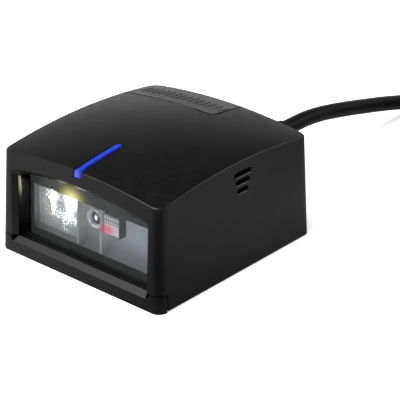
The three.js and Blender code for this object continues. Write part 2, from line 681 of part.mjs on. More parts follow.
function modularSocket() {
  const outer = box(-SOCKET.half, SOCKET.half, SOCKET.front, SOCKET.back, BOARD_TOP + GAP, SOCKET.top);
  const [half, high] = [PLUG_HALF_WIDTH + PLUG_CLEARANCE, PLUG_HALF_HEIGHT + PLUG_CLEARANCE];
  const [front, back] = [SOCKET.mouthFront, SOCKET.back + 1];
  const mouth = box(-half, half, front, back, PLUG_HEIGHT - high, PLUG_HEIGHT + high);
  const latchWay = box(-LATCH_WAY.half, LATCH_WAY.half, front, back, LATCH_WAY.low, PLUG_HEIGHT);
  return cut(outer, mouth, latchWay, post(0, RELEASE_HOLE_Y, 1.3, 3, 7, 16));
}

function modularPlug() {
  const top = PLUG_HEIGHT + PLUG_HALF_HEIGHT;
  const bottom = PLUG_HEIGHT - PLUG_HALF_HEIGHT;
  const body = box(-PLUG_HALF_WIDTH, PLUG_HALF_WIDTH, PLUG_FRONT, PLUG_BACK, bottom, top);
  const { count, first, pitch, width, back, depth } = PLUG_CONTACTS;
  const contactSlots = Array.from({ length: count }, (_, i) => {
    const x = first + i * pitch;
    return box(x, x + width, PLUG_FRONT - 1, back, top - depth, top + 1);
  });
  return cut(body, ...contactSlots);
}

// The release latch lies under the plug and slopes away from it towards the back.
function plugLatch() {
  return along(-LATCH_HALF_WIDTH, LATCH_HALF_WIDTH, [
    [LATCH_PIVOT.y - 0.6, 7.5], [LATCH_PIVOT.y - 0.4, 8.2], [LATCH_PIVOT.y + 0.8, 8.2],
    [19.6, 7.35], [21, 7.1], [21, 6.5], [19.4, 6.5], [19.2, 6.75], [LATCH_PIVOT.y + 0.4, 7.45],
  ]);
}

// Rounded sections that taper from the plug to the cable, with bend grooves and an end collar.
function strainRelief() {
  const section = (y, halfX, halfZ, radius) => (
    roundedOutline(halfX, halfZ, radius, 5, 2)
      .map(([x, z]) => new THREE.Vector3(x, y, PLUG_HEIGHT + z))
  );
  const start = PLUG_BACK + GAP;
  const rings = [
    section(start, 4.9, 2.9, 1.4), section(24.8, 4.9, 2.9, 1.4), section(25.4, 3.7, 2.8, 2.4),
  ];
  const [groovesFrom, pitch, grooves, halfHeight] = [26.4, 2.3, 6, 2.8];
  for (let i = 0; i < grooves; i += 1) {
    const y = groovesFrom + i * pitch;
    const outer = 3.3 - i * 0.16;
    const inner = 2.3 - i * 0.07;
    const land = (at, reach) => section(at, reach, Math.min(reach, halfHeight), inner);
    const groove = (at) => section(at, inner, inner, inner * 0.98);
    rings.push(land(y, outer), groove(y + 0.2), groove(y + 0.9), land(y + 1.1, outer - 0.08));
  }
  rings.push(section(40.6, 2.1, 2.1, 2), section(41, 2.35, 2.35, 2.3), section(RELIEF_END, 2.3, 2.3, 2.25));
  return loft(rings);
}

subpart('modular_socket', modularSocket(), CHIP_BLACK);
subpart('modular_plug', modularPlug(), CLEAR);
subpart('plug_latch', plugLatch(), CLEAR);
subpart('strain_relief', strainRelief(), RUBBER);

// ---- Cable: a free run, a coil of the spare length and a tail to the USB plug ----

// Straight out of the strain relief, down to the surface, then round the outside of the coil.
const RUN_POINTS = [
  [0, 43.3, 11.75], [0, 47.5, 11.85], [0, 52, 11.8], [0, 56, 11.45], [0, 60.5, 10.75], [0, 65.5, 9.8],
  [0, 70.5, 8.75], [0, 76, 7.5], [0, 81.5, 6.25], [0, 87, 4.9], [0.1, 92, 3.65], [0.4, 97, 2.6],
  [1.1, 102, 2.05], [2.3, 107.5, 1.9], [4.4, 112.8, 1.87], [7.6, 117.8, 1.87], [11.7, 122.2, 1.87],
  [16.2, 125.6, 1.87],
];

const TAIL_POINTS = [
  [58.7, 99, 1.87], [58.95, 94.5, 1.87], [59, 90, 1.95], [59, 86, 2.35], [59, 82, 3.1], [59, 78.5, 3.75],
  [59, 74.9, 4.1],
];

function tube(points, radius, sides, steps) {
  const path = new THREE.CatmullRomCurve3(points.map((p) => new THREE.Vector3(...p)));
  const round = new THREE.Shape(Array.from({ length: sides }, (_, i) => {
    const angle = (i / sides) * Math.PI * 2;
    return new THREE.Vector2(radius * Math.cos(angle), radius * Math.sin(angle));
  }));
  return solid(new THREE.ExtrudeGeometry(round, { steps, extrudePath: path, bevelEnabled: false }));
}

const COIL_CHAMFER = 3;
const TIE = { halfWidth: 3.5, clearance: 0.55, thickness: 0.55 };

function cableCoil() {
  const [half, chamfer] = [COIL_HALF_WIDTH, COIL_CHAMFER];
  const [low, high] = [COIL_BOTTOM, COIL_BOTTOM + COIL_HEIGHT];
  const section = [
    [-half + chamfer, low], [half - chamfer, low], [half, low + chamfer], [half, high - chamfer],
    [half - chamfer, high], [-half + chamfer, high], [-half, high - chamfer], [-half, low + chamfer],
    [-half + chamfer, low],
  ].map(([r, z]) => new THREE.Vector2(COIL_RADIUS + r, z));
  const ring = new THREE.LatheGeometry(section, 40).rotateX(Math.PI / 2);
  return solid(ring.translate(COIL_CENTRE.x, COIL_CENTRE.y, 0));
}

// A strap looped round the bundle of turns, on the side nearest the scanner.
function coilTie() {
  const middle = COIL_CENTRE.y - COIL_RADIUS;
  const [x0, x1] = [COIL_CENTRE.x - TIE.halfWidth, COIL_CENTRE.x + TIE.halfWidth];
  const loop = (grow) => along(x0, x1, roundedOutline(
    COIL_HALF_WIDTH + TIE.clearance + grow, COIL_HEIGHT / 2 + GAP + grow, 2.4 + grow, 4, 1,
  ).map(([y, z]) => [middle + y, COIL_BOTTOM + COIL_HEIGHT / 2 + z]));
  return cut(loop(TIE.thickness), loop(0));
}

const USB_HEIGHT = 4.1;
const USB_SHELL = { half: 6, halfHeight: 2.25, metal: 0.35, front: 34.3, back: 46.3 };
const USB_WINDOWS = { places: [-2.6, 2.6], half: 1.1, front: 39, back: 41.2 };
const USB_TONGUE = { half: 5.3, front: 35, back: 45.6, low: -1.55, high: 0.1 };

// The moulded grip: a tapered nose at the cable's end and a rounded block.
function usbOvermould() {
  const section = (y, halfX, halfZ, radius) => (
    roundedOutline(halfX, halfZ, radius, 4, 2)
      .map(([x, z]) => new THREE.Vector3(USB_X + x, y, USB_HEIGHT + z))
  );
  return loft([
    section(USB_BACK, 2.6, 2.6, 2.4), section(66.5, 3.1, 3, 2.6), section(65.8, 6.6, 3.7, 1.8),
    section(64.6, 7.6, 3.9, 1.8), section(47.4, 7.8, 3.95, 1.8), section(46.6, 7.2, 3.4, 1.4),
  ]);
}

function usbShell() {
  const { half, halfHeight, metal, front, back } = USB_SHELL;
  const block = (shrink, y0, y1) => box(
    USB_X - half + shrink, USB_X + half - shrink, y0, y1,
    USB_HEIGHT - halfHeight + shrink, USB_HEIGHT + halfHeight - shrink,
  );
  const windows = USB_WINDOWS.places.map((x) => box(
    USB_X + x - USB_WINDOWS.half, USB_X + x + USB_WINDOWS.half,
    USB_WINDOWS.front, USB_WINDOWS.back, USB_HEIGHT, USB_HEIGHT + halfHeight + 1,
  ));
  return cut(block(0, front, back), block(metal, front - 1, back - metal), ...windows);
}

function usbTongue() {
  const { half, front, back, low, high } = USB_TONGUE;
  return box(USB_X - half, USB_X + half, front, back, USB_HEIGHT + low, USB_HEIGHT + high);
}

subpart('cable_run', tube(RUN_POINTS, CABLE_RADIUS, 8, 24), CABLE_JACKET);
subpart('cable_coil', cableCoil(), CABLE_JACKET);
subpart('cable_tail', tube(TAIL_POINTS, CABLE_RADIUS, 8, 8), CABLE_JACKET);
subpart('coil_tie', coilTie(), RUBBER);
subpart('usb_overmould', usbOvermould(), RUBBER);
subpart('usb_shell', usbShell(), STEEL);
subpart('usb_tongue', usbTongue(), LABEL_WHITE);

export default scanner;
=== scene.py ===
"""Looks for the fixed-mount barcode imager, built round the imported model.

Shapes are worked out in millimetres in the model's own frame, and become metres when a mesh is made.
"""
import math
from functools import partial, reduce

import bmesh
import bpy
from mathutils import Matrix, Vector


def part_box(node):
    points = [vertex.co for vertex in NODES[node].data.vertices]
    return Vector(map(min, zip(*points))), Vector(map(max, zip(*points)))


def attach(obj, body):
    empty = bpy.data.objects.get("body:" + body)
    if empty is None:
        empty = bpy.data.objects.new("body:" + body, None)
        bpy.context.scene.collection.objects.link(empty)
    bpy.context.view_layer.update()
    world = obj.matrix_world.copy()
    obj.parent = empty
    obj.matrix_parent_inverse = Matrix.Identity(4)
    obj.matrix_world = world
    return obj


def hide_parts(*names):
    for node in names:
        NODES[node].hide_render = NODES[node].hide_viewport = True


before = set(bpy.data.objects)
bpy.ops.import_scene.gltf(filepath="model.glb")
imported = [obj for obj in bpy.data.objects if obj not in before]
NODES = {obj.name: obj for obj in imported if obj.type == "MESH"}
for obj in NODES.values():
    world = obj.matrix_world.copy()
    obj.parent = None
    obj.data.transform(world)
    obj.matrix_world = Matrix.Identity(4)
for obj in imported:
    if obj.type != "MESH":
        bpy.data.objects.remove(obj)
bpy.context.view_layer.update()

MM = 0.001
SCANNER = "scanner"


def box_mm(node):
    """Lowest and highest corners of a CAD node, in millimetres."""
    low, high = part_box(node)
    return low / MM, high / MM


def middle_mm(node):
    low, high = box_mm(node)
    return (low + high) / 2


# ---- Camera ----

AZIMUTH, ELEVATION, ROLL = 40.833, 25.898, 0.293
DISTANCE = 0.345189
FOCAL_LENGTH = 146.18
AIM_RIGHT, AIM_UP, AIM_HEIGHT = 0.009173, -0.003138, 0.013


def make_camera():
    azimuth, elevation, roll = (math.radians(a) for a in (AZIMUTH, ELEVATION, ROLL))
    level = math.cos(elevation)
    back = Vector((math.sin(azimuth) * level, -math.cos(azimuth) * level, math.sin(elevation)))
    right = Vector((math.cos(azimuth), math.sin(azimuth), 0))
    up = back.cross(right)
    target = Vector((0, 0, AIM_HEIGHT)) + right * AIM_RIGHT + up * AIM_UP
    data = bpy.data.cameras.new("camera")
    data.lens = FOCAL_LENGTH
    data.sensor_width = 36
    data.clip_start = 0.01
    camera = bpy.data.objects.new("camera", data)
    bpy.context.scene.collection.objects.link(camera)
    turned = Matrix((right, up, back)).transposed() @ Matrix.Rotation(roll, 3, "Z")
    camera.matrix_world = Matrix.Translation(target + back * DISTANCE) @ turned.to_4x4()
    bpy.context.scene.camera = camera


make_camera()

# ---- Materials ----


MIX_SHARE, MIX_FIRST, MIX_SECOND, MIX_RESULT = 0, 6, 7, 2  # a colour Mix node's sockets


class Network:
    """The nodes of a material or world, which make patterns out of the place that is seen."""

    def __init__(self, owner, coordinates):
        owner.use_nodes = True
        self.nodes, self.links = owner.node_tree.nodes, owner.node_tree.links
        self.place = self.node("TexCoord", {}).outputs[coordinates]

    def join(self, value, socket):
        """Links a socket to another one, or sets its number, vector or (red, green, blue) colour."""
        if isinstance(value, bpy.types.NodeSocket):
            self.links.new(value, socket)
        else:
            socket.default_value = (*value, 1) if socket.type == "RGBA" else value

    def node(self, kind, inputs, **settings):
        node = self.nodes.new("ShaderNode" + kind)
        for key, value in settings.items():
            setattr(node, key, value)
        for key, value in inputs.items():
            self.join(value, node.inputs[key])
        return node

    def math(self, operation, first, second=0.0):
        return self.node("Math", {0: first, 1: second}, operation=operation).outputs[0]

    def total(self, *values):
        return reduce(partial(self.math, "ADD"), values)

    def product(self, *values):
        return reduce(partial(self.math, "MULTIPLY"), values)

    def wave(self, value, rate):
        return self.math("SINE", self.product(value, rate))

    def axes(self):
        """The place's x, y and z, in millimetres."""
        return [self.product(out, 1 / MM) for out in self.node("SeparateXYZ", {0: self.place}).outputs]

    def noise(self, scale, detail=2.0, stretch=None):
        place = self.place
        if stretch is not None:
            place = self.node("Mapping", {"Vector": place, "Scale": stretch}).outputs[0]
        return self.node("TexNoise", {"Scale": scale, "Detail": detail, "Vector": place}).outputs["Fac"]

    def spread(self, value, low, high, start=0.3, end=0.7):
        """Runs from low to high as the value goes from start to end."""
        inputs = {"Value": value, "From Min": start, "From Max": end, "To Min": low, "To Max": high}
        return self.node("MapRange", inputs).outputs[0]

    def colors(self, value, *stops):
        """A colour ramp of (position, colour) stops, in rising order."""
        node = self.node("ValToRGB", {"Fac": value})
        first, *between, last = stops
        for element, (position, color) in zip(node.color_ramp.elements, (first, last)):
            element.position = position
            element.color = (*color, 1)
        for position, color in between:
            node.color_ramp.elements.new(position).color = (*color, 1)
        return node.outputs["Color"]

    def mix(self, share, first, second):
        inputs = {MIX_SHARE: share, MIX_FIRST: first, MIX_SECOND: second}
        return self.node("Mix", inputs, data_type="RGBA").outputs[MIX_RESULT]

    def spot(self, first, second, centre, halves):
        """1 at a centre in two axes, falling off smoothly over the two half widths."""
        squares = []
        for value, middle, half in zip((first, second), centre, halves):
            share = self.math("DIVIDE", self.math("SUBTRACT", value, middle), half)
            squares.append(self.product(share, share))
        return self.math("EXPONENT", self.product(self.total(*squares), -1.0))


class Look(Network):
    """A Principled material with procedural noise in its colour, roughness and surface."""

    def __init__(self, name, color, roughness, **inputs):
        self.material = bpy.data.materials.new(name)
        super().__init__(self.material, "Object")
        self.shader = self.nodes["Principled BSDF"]
        self.set(Base_Color=color, Roughness=roughness, **inputs)

    def set(self, **inputs):
        """Sets or links the shader's inputs, named with _ for each space."""
        for key, value in inputs.items():
            self.join(value, self.shader.inputs[key.replace("_", " ")])

    def tint(self, low, high, scale):
        self.set(Base_Color=self.colors(self.noise(scale), (0.35, low), (0.65, high)))

    def rough(self, low, high, scale):
        self.set(Roughness=self.spread(self.noise(scale), low, high))

    def bump(self, height, depth, strength=1.0):
        """height runs from 0 to 1, and depth is in millimetres."""
        inputs = {"Height": height, "Distance": depth * MM, "Strength": strength}
        normal = self.shader.inputs["Normal"]
        if normal.is_linked:
            inputs["Normal"] = normal.links[0].from_socket
        self.links.new(self.node("Bump", inputs).outputs[0], normal)


def shade(color, factor):
    return tuple(channel * factor for channel in color)


def moulded(name, color, roughness, grain=2500, depth=0.01, vary=0.12, **inputs):
    """Moulded plastic or rubber: a fine sparked grain, and slow changes of colour and gloss."""
    look = Look(name, color, roughness, **inputs)
    look.tint(shade(color, 1 - vary), shade(color, 1 + vary), 180)
    look.rough(roughness * 0.9, roughness * 1.12, 600)
    look.bump(look.noise(grain, 3), depth)
    return look


housing_plastic = moulded(
    "housing_plastic", (0.0026, 0.0026, 0.0024), 0.37, grain=2200, depth=0.011, Specular_IOR_Level=0.45)
relief_rubber = moulded(
    "relief_rubber", (0.005, 0.005, 0.005), 0.55, grain=1800, depth=0.014, Specular_IOR_Level=0.2)
cable_jacket = moulded(
    "cable_jacket", (0.0065, 0.0065, 0.0065), 0.45, grain=1300, depth=0.01, Specular_IOR_Level=0.12)
usb_grip = moulded("usb_grip", (0.012, 0.012, 0.012), 0.5, grain=2400, depth=0.014)
engine_grey = moulded("engine_grey", (0.33, 0.335, 0.35), 0.55, grain=1800, depth=0.012)
socket_black = moulded("socket_black", (0.014, 0.014, 0.015), 0.48, grain=2600, depth=0.01)
chip_epoxy = moulded("chip_epoxy", (0.02, 0.02, 0.022), 0.6, grain=5200, depth=0.012)
pale_nylon = moulded("pale_nylon", (0.62, 0.6, 0.55), 0.5, grain=2600, depth=0.008, vary=0.05)
sensor_silicon = moulded("sensor_silicon", (0.02, 0.03, 0.06), 0.12, grain=3000, depth=0.001)


def metal(name, color, roughness, stretch=None, grain=900, depth=0.004):
    look = Look(name, color, roughness, Metallic=1.0)
    look.tint(shade(color, 0.88), color, 240)
    scratches = look.noise(grain, 4, stretch)
    look.set(Roughness=look.spread(scratches, roughness * 0.8, roughness * 1.25))
    look.bump(scratches, depth)
    return look


screw_steel = metal("screw_steel", (0.5, 0.5, 0.51), 0.32)
usb_steel = metal("usb_steel", (0.62, 0.63, 0.65), 0.24, stretch=(1, 0.06, 1), grain=2600)
insert_brass = metal("insert_brass", (0.68, 0.46, 0.18), 0.3, stretch=(1, 1, 0.1), grain=2200)
contact_gold = metal("contact_gold", (0.85, 0.6, 0.2), 0.25)


def gloss_black():
    """Black plastic: mirror-smooth jambs, a duller arch, and duller ledges with a painted highlight line at
    each step's edge.
    """
    black, painted_highlight = (0.002, 0.002, 0.002), (0.016, 0.016, 0.016)
    look = Look("gloss_black", black, 0.05, Specular_IOR_Level=0.2)
    _, y, z = look.axes()
    ledge = look.spread(z, 1.0, 0.0, 4.4, 5.2)
    arch = look.spread(z, 0.0, 1.0, 17.9, 18.6)
    # Painted highlight: a lighter line along each ledge step's edge, where the edge would catch the light.
    lines = look.total(*[look.spot(y, y, (edge, edge), (0.14, 0.14)) for edge in STEP_EDGES])
    look.set(Base_Color=look.mix(look.product(lines, ledge), black, painted_highlight))
    dull = look.product(look.total(ledge, arch), 0.2)
    look.set(Roughness=look.total(dull, look.spread(look.noise(500), 0.01, 0.03)))
    look.bump(look.noise(500), 0.001)
    return look


def clear_plastic():
    """Moulded polycarbonate, with faint flow lines."""
    look = Look("clear_plastic", (0.93, 0.95, 0.96), 0.06, Transmission_Weight=0.9, IOR=1.58)
    look.rough(0.04, 0.11, 500)
    look.bump(look.noise(260, 2, (1, 0.25, 1)), 0.01)
    return look


def circuit_board():
    """Green solder mask over tracks, with tinned pads."""
    green = (0.006, 0.05, 0.02)
    look = Look("circuit_board", green, 0.38)
    cells = look.node("TexVoronoi", {"Scale": 520, "Vector": look.place}, feature="SMOOTH_F1")
    tracks = cells.outputs["Distance"]
    pads, edges = (0.35, 0.33, 0.26), shade(green, 1.5)
    look.set(Base_Color=look.colors(
        tracks, (0.0, pads), (0.12, edges), (0.4, green), (0.8, shade(green, 0.7))))
    look.rough(0.3, 0.46, 900)
    look.bump(tracks, 0.03, 0.6)
    return look


def flex_film():
    """Amber film with copper lines that show through."""
    look = Look("flex_film", (0.42, 0.17, 0.03), 0.3, Coat_Weight=0.4)
    x = look.axes()[0]
    lines = look.math("PINGPONG", x, 0.3)
    look.set(Base_Color=look.colors(lines, (0.1, (0.5, 0.24, 0.05)), (0.2, (0.3, 0.11, 0.02))))
    look.rough(0.24, 0.38, 700)
    return look


def label_film():
    """A blank pale label with a thin printed border."""
    low, high = box_mm("base_label")
    look = Look("label_film", (0.6, 0.6, 0.58), 0.5)
    x, y, _ = look.axes()
    centre, half = (low + high) / 2, (high - low) / 2
    reaches = [
        look.math("SUBTRACT", reach, look.math("ABSOLUTE", look.math("SUBTRACT", value, middle)))
        for value, middle, reach in ((x, centre.x, half.x), (y, centre.y, half.y))]
    edge = look.math("MINIMUM", *reaches)
    line = look.math("COMPARE", edge, 0.9)
    line.node.inputs[2].default_value = 0.12
    look.set(Base_Color=look.colors(line, (0.4, (0.62, 0.62, 0.6)), (0.6, (0.05, 0.05, 0.05))))
    look.rough(0.42, 0.58, 1200)
    look.bump(look.noise(3000, 3), 0.006)
    return look


def woven_mesh():
    """The fine black cloth that backs the vent slots."""
    look = Look("woven_mesh", (0.006, 0.006, 0.006), 0.8)
    _, y, z = look.axes()
    weave = look.product(look.wave(y, 26), look.wave(z, 26))
    look.bump(look.spread(weave, 0, 1, -1, 1), 0.05)
    look.set(Base_Color=look.colors(weave, (0.3, (0.003, 0.003, 0.003)), (0.9, (0.012, 0.012, 0.012))))
    return look


def tie_weave():
    """Woven hook-and-loop strap."""
    look = Look("tie_weave", (0.014, 0.014, 0.014), 0.85, Sheen_Weight=0.25)
    x, y, z = look.axes()
    weave = look.product(look.wave(x, 9), look.wave(look.total(y, z), 9))
    look.bump(look.spread(weave, 0, 1, -1, 1), 0.12)
    look.bump(look.noise(4200, 3), 0.05)
    look.tint((0.01, 0.01, 0.01), (0.02, 0.02, 0.02), 900)
    return look


# ---- Mesh tools ----


def add_mesh(name, points, faces):
    mesh = bpy.data.meshes.new(name)
    mesh.from_pydata([Vector(point) * MM for point in points], [], faces)
    shaped = bmesh.new()
    shaped.from_mesh(mesh)
    bmesh.ops.recalc_face_normals(shaped, faces=shaped.faces)
    shaped.to_mesh(mesh)
    shaped.free()
    piece = bpy.data.objects.new(name, mesh)
    bpy.context.scene.collection.objects.link(piece)
    return piece


def loft(name, rings, crest=None, looped=False):
    """Joins rings of equal length.

    The ends are capped, or the last one closes on a crest point. In a looped body, such as
    a frame, the last ring joins the first.
    """
    count = len(rings[0])
    points = [point for ring in rings for point in ring]
    faces = []
    for j in range(len(rings) if looped else len(rings) - 1):
        near, far = j * count, (j + 1) % len(rings) * count
        for i in range(count):
            n = (i + 1) % count
            faces.append((near + i, near + n, far + n, far + i))
    if not looped:
        last = (len(rings) - 1) * count
        faces.append(tuple(reversed(range(count))))
        if crest is None:
            faces.append(tuple(range(last, last + count)))
        else:
            points.append(crest)
            faces += [(last + i, last + (i + 1) % count, last + count) for i in range(count)]
    return add_mesh(name, points, faces)


def cuboid(name, x0, x1, y0, y1, z0, z1):
    return loft(name, [[(x0, y0, z), (x1, y0, z), (x1, y1, z), (x0, y1, z)] for z in (z0, z1)])


def circle(radius, sides):
    angles = [2 * math.pi * i / sides for i in range(sides)]
    return [(radius * math.cos(a), radius * math.sin(a)) for a in angles]


def quarter_arc(right, low, radius, steps=8):
    """Rounds a lower right-hand corner."""
    angles = [math.pi / 2 * i / steps for i in range(steps + 1)]
    return [(right - radius * (1 - math.sin(a)), low + radius * (1 - math.cos(a))) for a in angles]


def post(name, x, y, profile):
    """A turned solid about an upright axis. The profile's points are (radius, z)."""
    return loft(name, [[(x + a, y + b, z) for a, b in circle(r, 40)] for r, z in profile])


def turned_along_y(name, x, z, profile, looped=False):
    """A turned solid about an axis along Y. The profile's points are (radius, y)."""
    return loft(name, [[(x + a, y, z + b) for a, b in circle(r, 64)] for r, y in profile], looped=looped)


def combine(base, operation, *tools):
    for tool in tools:
        modifier = base.modifiers.new("combine", "BOOLEAN")
        modifier.solver = "EXACT"
        modifier.operation = operation
        modifier.object = tool
    depsgraph = bpy.context.evaluated_depsgraph_get()
    result = bpy.data.meshes.new_from_object(base.evaluated_get(depsgraph))
    base.modifiers.clear()
    base.data = result
    for tool in tools:
        bpy.data.objects.remove(tool)
    return base


def carve(base, *tools):
    return combine(base, "DIFFERENCE", *tools)


def merge(base, *tools):
    return combine(base, "UNION", *tools)


def keep(base, tool):
    return combine(base, "INTERSECT", tool)


def dress(piece, look, slot, *nodes, body=SCANNER, sharp=35, edge=0.0):
    """Gives a piece its material, smooth shading, softened edges and body, and hides the nodes it stands for.
    The slot is not used.
    """
    piece.data.materials.clear()
    piece.data.materials.append(look.material)
    if piece.type == "MESH":
        piece.data.shade_smooth()
        piece.data.set_sharp_from_angle(angle=math.radians(sharp))
        if edge:
            soften(piece, edge)
    if nodes:
        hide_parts(*nodes)
    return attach(piece, body)


def soften(piece, width, segments=2):
    bevel = piece.modifiers.new("edges", "BEVEL")
    bevel.width = width * MM
    bevel.segments = segments
    bevel.limit_method = "ANGLE"
    bevel.angle_limit = math.radians(38)
    bevel.harden_normals = True
    bevel.use_clamp_overlap = True


# ---- Cable: the free run, the tied coil and the tail ----

CABLE_DIAMETER = 0.0037
RUN_POINTS = [
    (0, 0.0433, 0.01175), (0, 0.0475, 0.01185), (0, 0.052, 0.0118), (0, 0.056, 0.01145),
    (0, 0.0605, 0.01075), (0, 0.0655, 0.0098), (0, 0.0705, 0.00875), (0, 0.076, 0.0075),
    (0, 0.0815, 0.00625), (0, 0.087, 0.0049), (0.0001, 0.092, 0.00365), (0.0004, 0.097, 0.0026),
    (0.0011, 0.102, 0.00205), (0.0023, 0.1075, 0.0019), (0.0044, 0.1128, 0.00187),
    (0.0076, 0.1178, 0.00187), (0.0117, 0.1222, 0.00187), (0.0162, 0.1256, 0.00187),
]
TAIL_POINTS = [
    (0.0587, 0.099, 0.00187), (0.05895, 0.0945, 0.00187), (0.059, 0.09, 0.00195), (0.059, 0.086, 0.00235),
    (0.059, 0.082, 0.0031), (0.059, 0.0785, 0.00375), (0.059, 0.0749, 0.0041),
]
COIL_HALF_WIDTH = 0.0056
POINTS_PER_TURN = 16
PITCH = 0.00374  # between neighbouring turns
BOTTOM_ROW = 0.00195
TIE_LIFT = 0.0009  # the strap under the turns lifts them this much
# The turns lie in rows of three, and two on top. Each step is (first turn, last turn, place in pitches).
STEPS_ACROSS = [
    (0, 0.16, 1), (0.86, 1.0, 0), (1.86, 2.0, -1), (3.58, 3.72, 0), (4.58, 4.72, 1),
    (6.3, 6.44, 0), (7.3, 7.44, -1), (8.2, 8.3, -0.5), (9.12, 9.26, 0.5),
]
STEPS_UP = [(2.72, 2.86, 1), (5.44, 5.58, 2), (8.12, 8.24, 3)]
LEAVE_ACROSS = (10.03, 10.22)
LEAVE_DOWN = 10.12


def eased(value, start, end):
    share = min(1.0, max(0.0, (value - start) / (end - start)))
    return share * share * (3 - 2 * share)


def coil_points():
    """The turns of the coil, from the run's last point to the tail's first one."""
    low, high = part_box("cable_coil")
    centre = (low + high) / 2
    radius = (high.x - low.x) / 2 - COIL_HALF_WIDTH

    def polar(point):
        away = Vector(point) - centre
        return math.atan2(away.y, away.x), math.hypot(away.x, away.y) - radius

    first_angle, first_offset = polar(RUN_POINTS[-1])
    last_angle, last_offset = polar(TAIL_POINTS[0])
    turns = 10 + ((first_angle - last_angle) / (2 * math.pi)) % 1
    points = []
    for step in range(1, round(turns * POINTS_PER_TURN)):
        turn = step / POINTS_PER_TURN
        angle = first_angle - 2 * math.pi * turn
        offset = first_offset
        for start, end, place in STEPS_ACROSS:
            offset += (place * PITCH - offset) * eased(turn, start, end)
        offset += (last_offset - offset) * eased(turn, *LEAVE_ACROSS)
        height = RUN_POINTS[-1][2] + (BOTTOM_ROW - RUN_POINTS[-1][2]) * eased(turn, 0, 0.16)
        for start, end, row in STEPS_UP:
            height += (BOTTOM_ROW + row * PITCH - height) * eased(turn, start, end)
        from_tie = (angle + math.pi / 2 + math.pi) % (2 * math.pi) - math.pi
        height += TIE_LIFT * math.exp(-(from_tie / 0.45) ** 2)
        height += (TAIL_POINTS[0][2] - height) * eased(turn, LEAVE_DOWN, turns)
        reach = radius + offset
        points.append((centre.x + reach * math.cos(angle), centre.y + reach * math.sin(angle), height))
    return points


def make_cable():
    points = [*RUN_POINTS, *coil_points(), *TAIL_POINTS]
    data = bpy.data.curves.new("cable", "CURVE")
    data.dimensions = "3D"
    data.bevel_depth = CABLE_DIAMETER / 2
    data.bevel_resolution = 5
    data.resolution_u = 5
    data.use_fill_caps = True
    spline = data.splines.new("BEZIER")
    spline.bezier_points.add(len(points) - 1)
    for knot, place in zip(spline.bezier_points, points):
        knot.co = place
        knot.handle_left_type = knot.handle_right_type = "AUTO"
    cable = bpy.data.objects.new("cable", data)
    bpy.context.scene.collection.objects.link(cable)
    dress(cable, cable_jacket, "cable_jacket", "cable_run", "cable_coil", "cable_tail")
    return cable


cable = make_cable()

# ---- Housing shape ----

WIDTH, DEPTH = 45.9, 49.0
CORNER_HEIGHT, SIDE_CROWN, FRONT_CROWN, BACK_RISE = 22.3, 1.9, 2.12, 0.585
DRAFT_ANGLE = math.radians(2.29)
CORNER_RADIUS, EDGE_FILLET = 2.1, 0.35
WALL, ROOF, GAP = 1.5, 2.0, 0.3
FAR = 60  # well outside the scanner


def rounded_outline(half_x, half_y, radius, corner_steps, side_steps):
    """Points round a rounded rectangle, with extra points along its straight sides."""
    outline = []
    for corner, (sx, sy) in enumerate([(1, 1), (-1, 1), (-1, -1), (1, -1)]):
        for i in range(corner_steps + 1):
            angle = (corner + i / corner_steps) * math.pi / 2
            outline.append((
                sx * (half_x - radius) + radius * math.cos(angle),
                sy * (half_y - radius) + radius * math.sin(angle)))
        x, y = outline[-1]
        to = (x, -y) if corner % 2 else (-x, y)
        for i in range(1, side_steps):
            share = i / side_steps
            outline.append((x + (to[0] - x) * share, y + (to[1] - y) * share))
    return outline


def roof_height(x, y):
    across = 1 - (2 * x / WIDTH) ** 2
    lengthways = 1 - (2 * y / DEPTH) ** 2
    return CORNER_HEIGHT + SIDE_CROWN * across + FRONT_CROWN * lengthways + BACK_RISE * (y / DEPTH + 0.5)


def wall_outline(inset, height):
    reach = inset + math.tan(DRAFT_ANGLE) * height
    radius = max(CORNER_RADIUS - inset, 0.5)
    return rounded_outline(WIDTH / 2 - reach, DEPTH / 2 - reach, radius, 10, 24)


def housing_form(name, inset, roof_inset, foot):
    """The housing's outer form, made smaller by inset on the walls and by roof_inset on the roof."""
    flat = wall_outline(inset, CORNER_HEIGHT)

    def roof_edge(step_in, drop):
        ring = []
        for i, (x, y) in enumerate(flat):
            height = roof_height(x, y) - roof_inset
            wall_x, wall_y = wall_outline(inset + step_in, height)[i]
            ring.append((wall_x, wall_y, height - drop))
        return ring

    rings = [[(x, y, foot) for x, y in wall_outline(inset, foot)]]
    for turn in (0, 18, 36, 54, 72, 90):
        angle = math.radians(turn)
        rings.append(roof_edge(EDGE_FILLET * (1 - math.cos(angle)), EDGE_FILLET * (1 - math.sin(angle))))
    rim = rings[-1]
    for i in range(1, 12):
        share = 1 - i / 12
        rings.append([
            (x * share, y * share, roof_height(x * share, y * share) - roof_inset) for x, y, _ in rim])
    return loft(name, rings, crest=(0, 0, roof_height(0, 0) - roof_inset))


def roof_layer(name, thickness):
    """The outermost layer of the roof, out to the walls."""
    return carve(housing_form(name, 0, 0, 0), housing_form("under", -2, thickness, -1))


def upright(name, outline, z0, z1):
    return loft(name, [[(x, y, z) for x, y in outline] for z in (z0, z1)])


# ---- Window shape ----

OPENING_HALF, OPENING_CREST, BEVEL = 18.4, 20.05, 1.05
SLEEVE_SEAT = 0.4  # the opening is this much wider behind its bevel, where the bezel's sleeve fits
ARCH_RADIUS = 99
PANE_DEPTH, PANE_THICKNESS = 4.05, 0.8
PANE_HALF, PANE_LOW, PANE_CREST = 18.75, 3.03, 20.35


def face_point(x, depth, height):
    """A point given by its place across, its depth behind the front wall and its height up the wall."""
    sin, cos = math.sin(DRAFT_ANGLE), math.cos(DRAFT_ANGLE)
    return (x, -DEPTH / 2 + depth * cos + height * sin, height * cos - depth * sin)


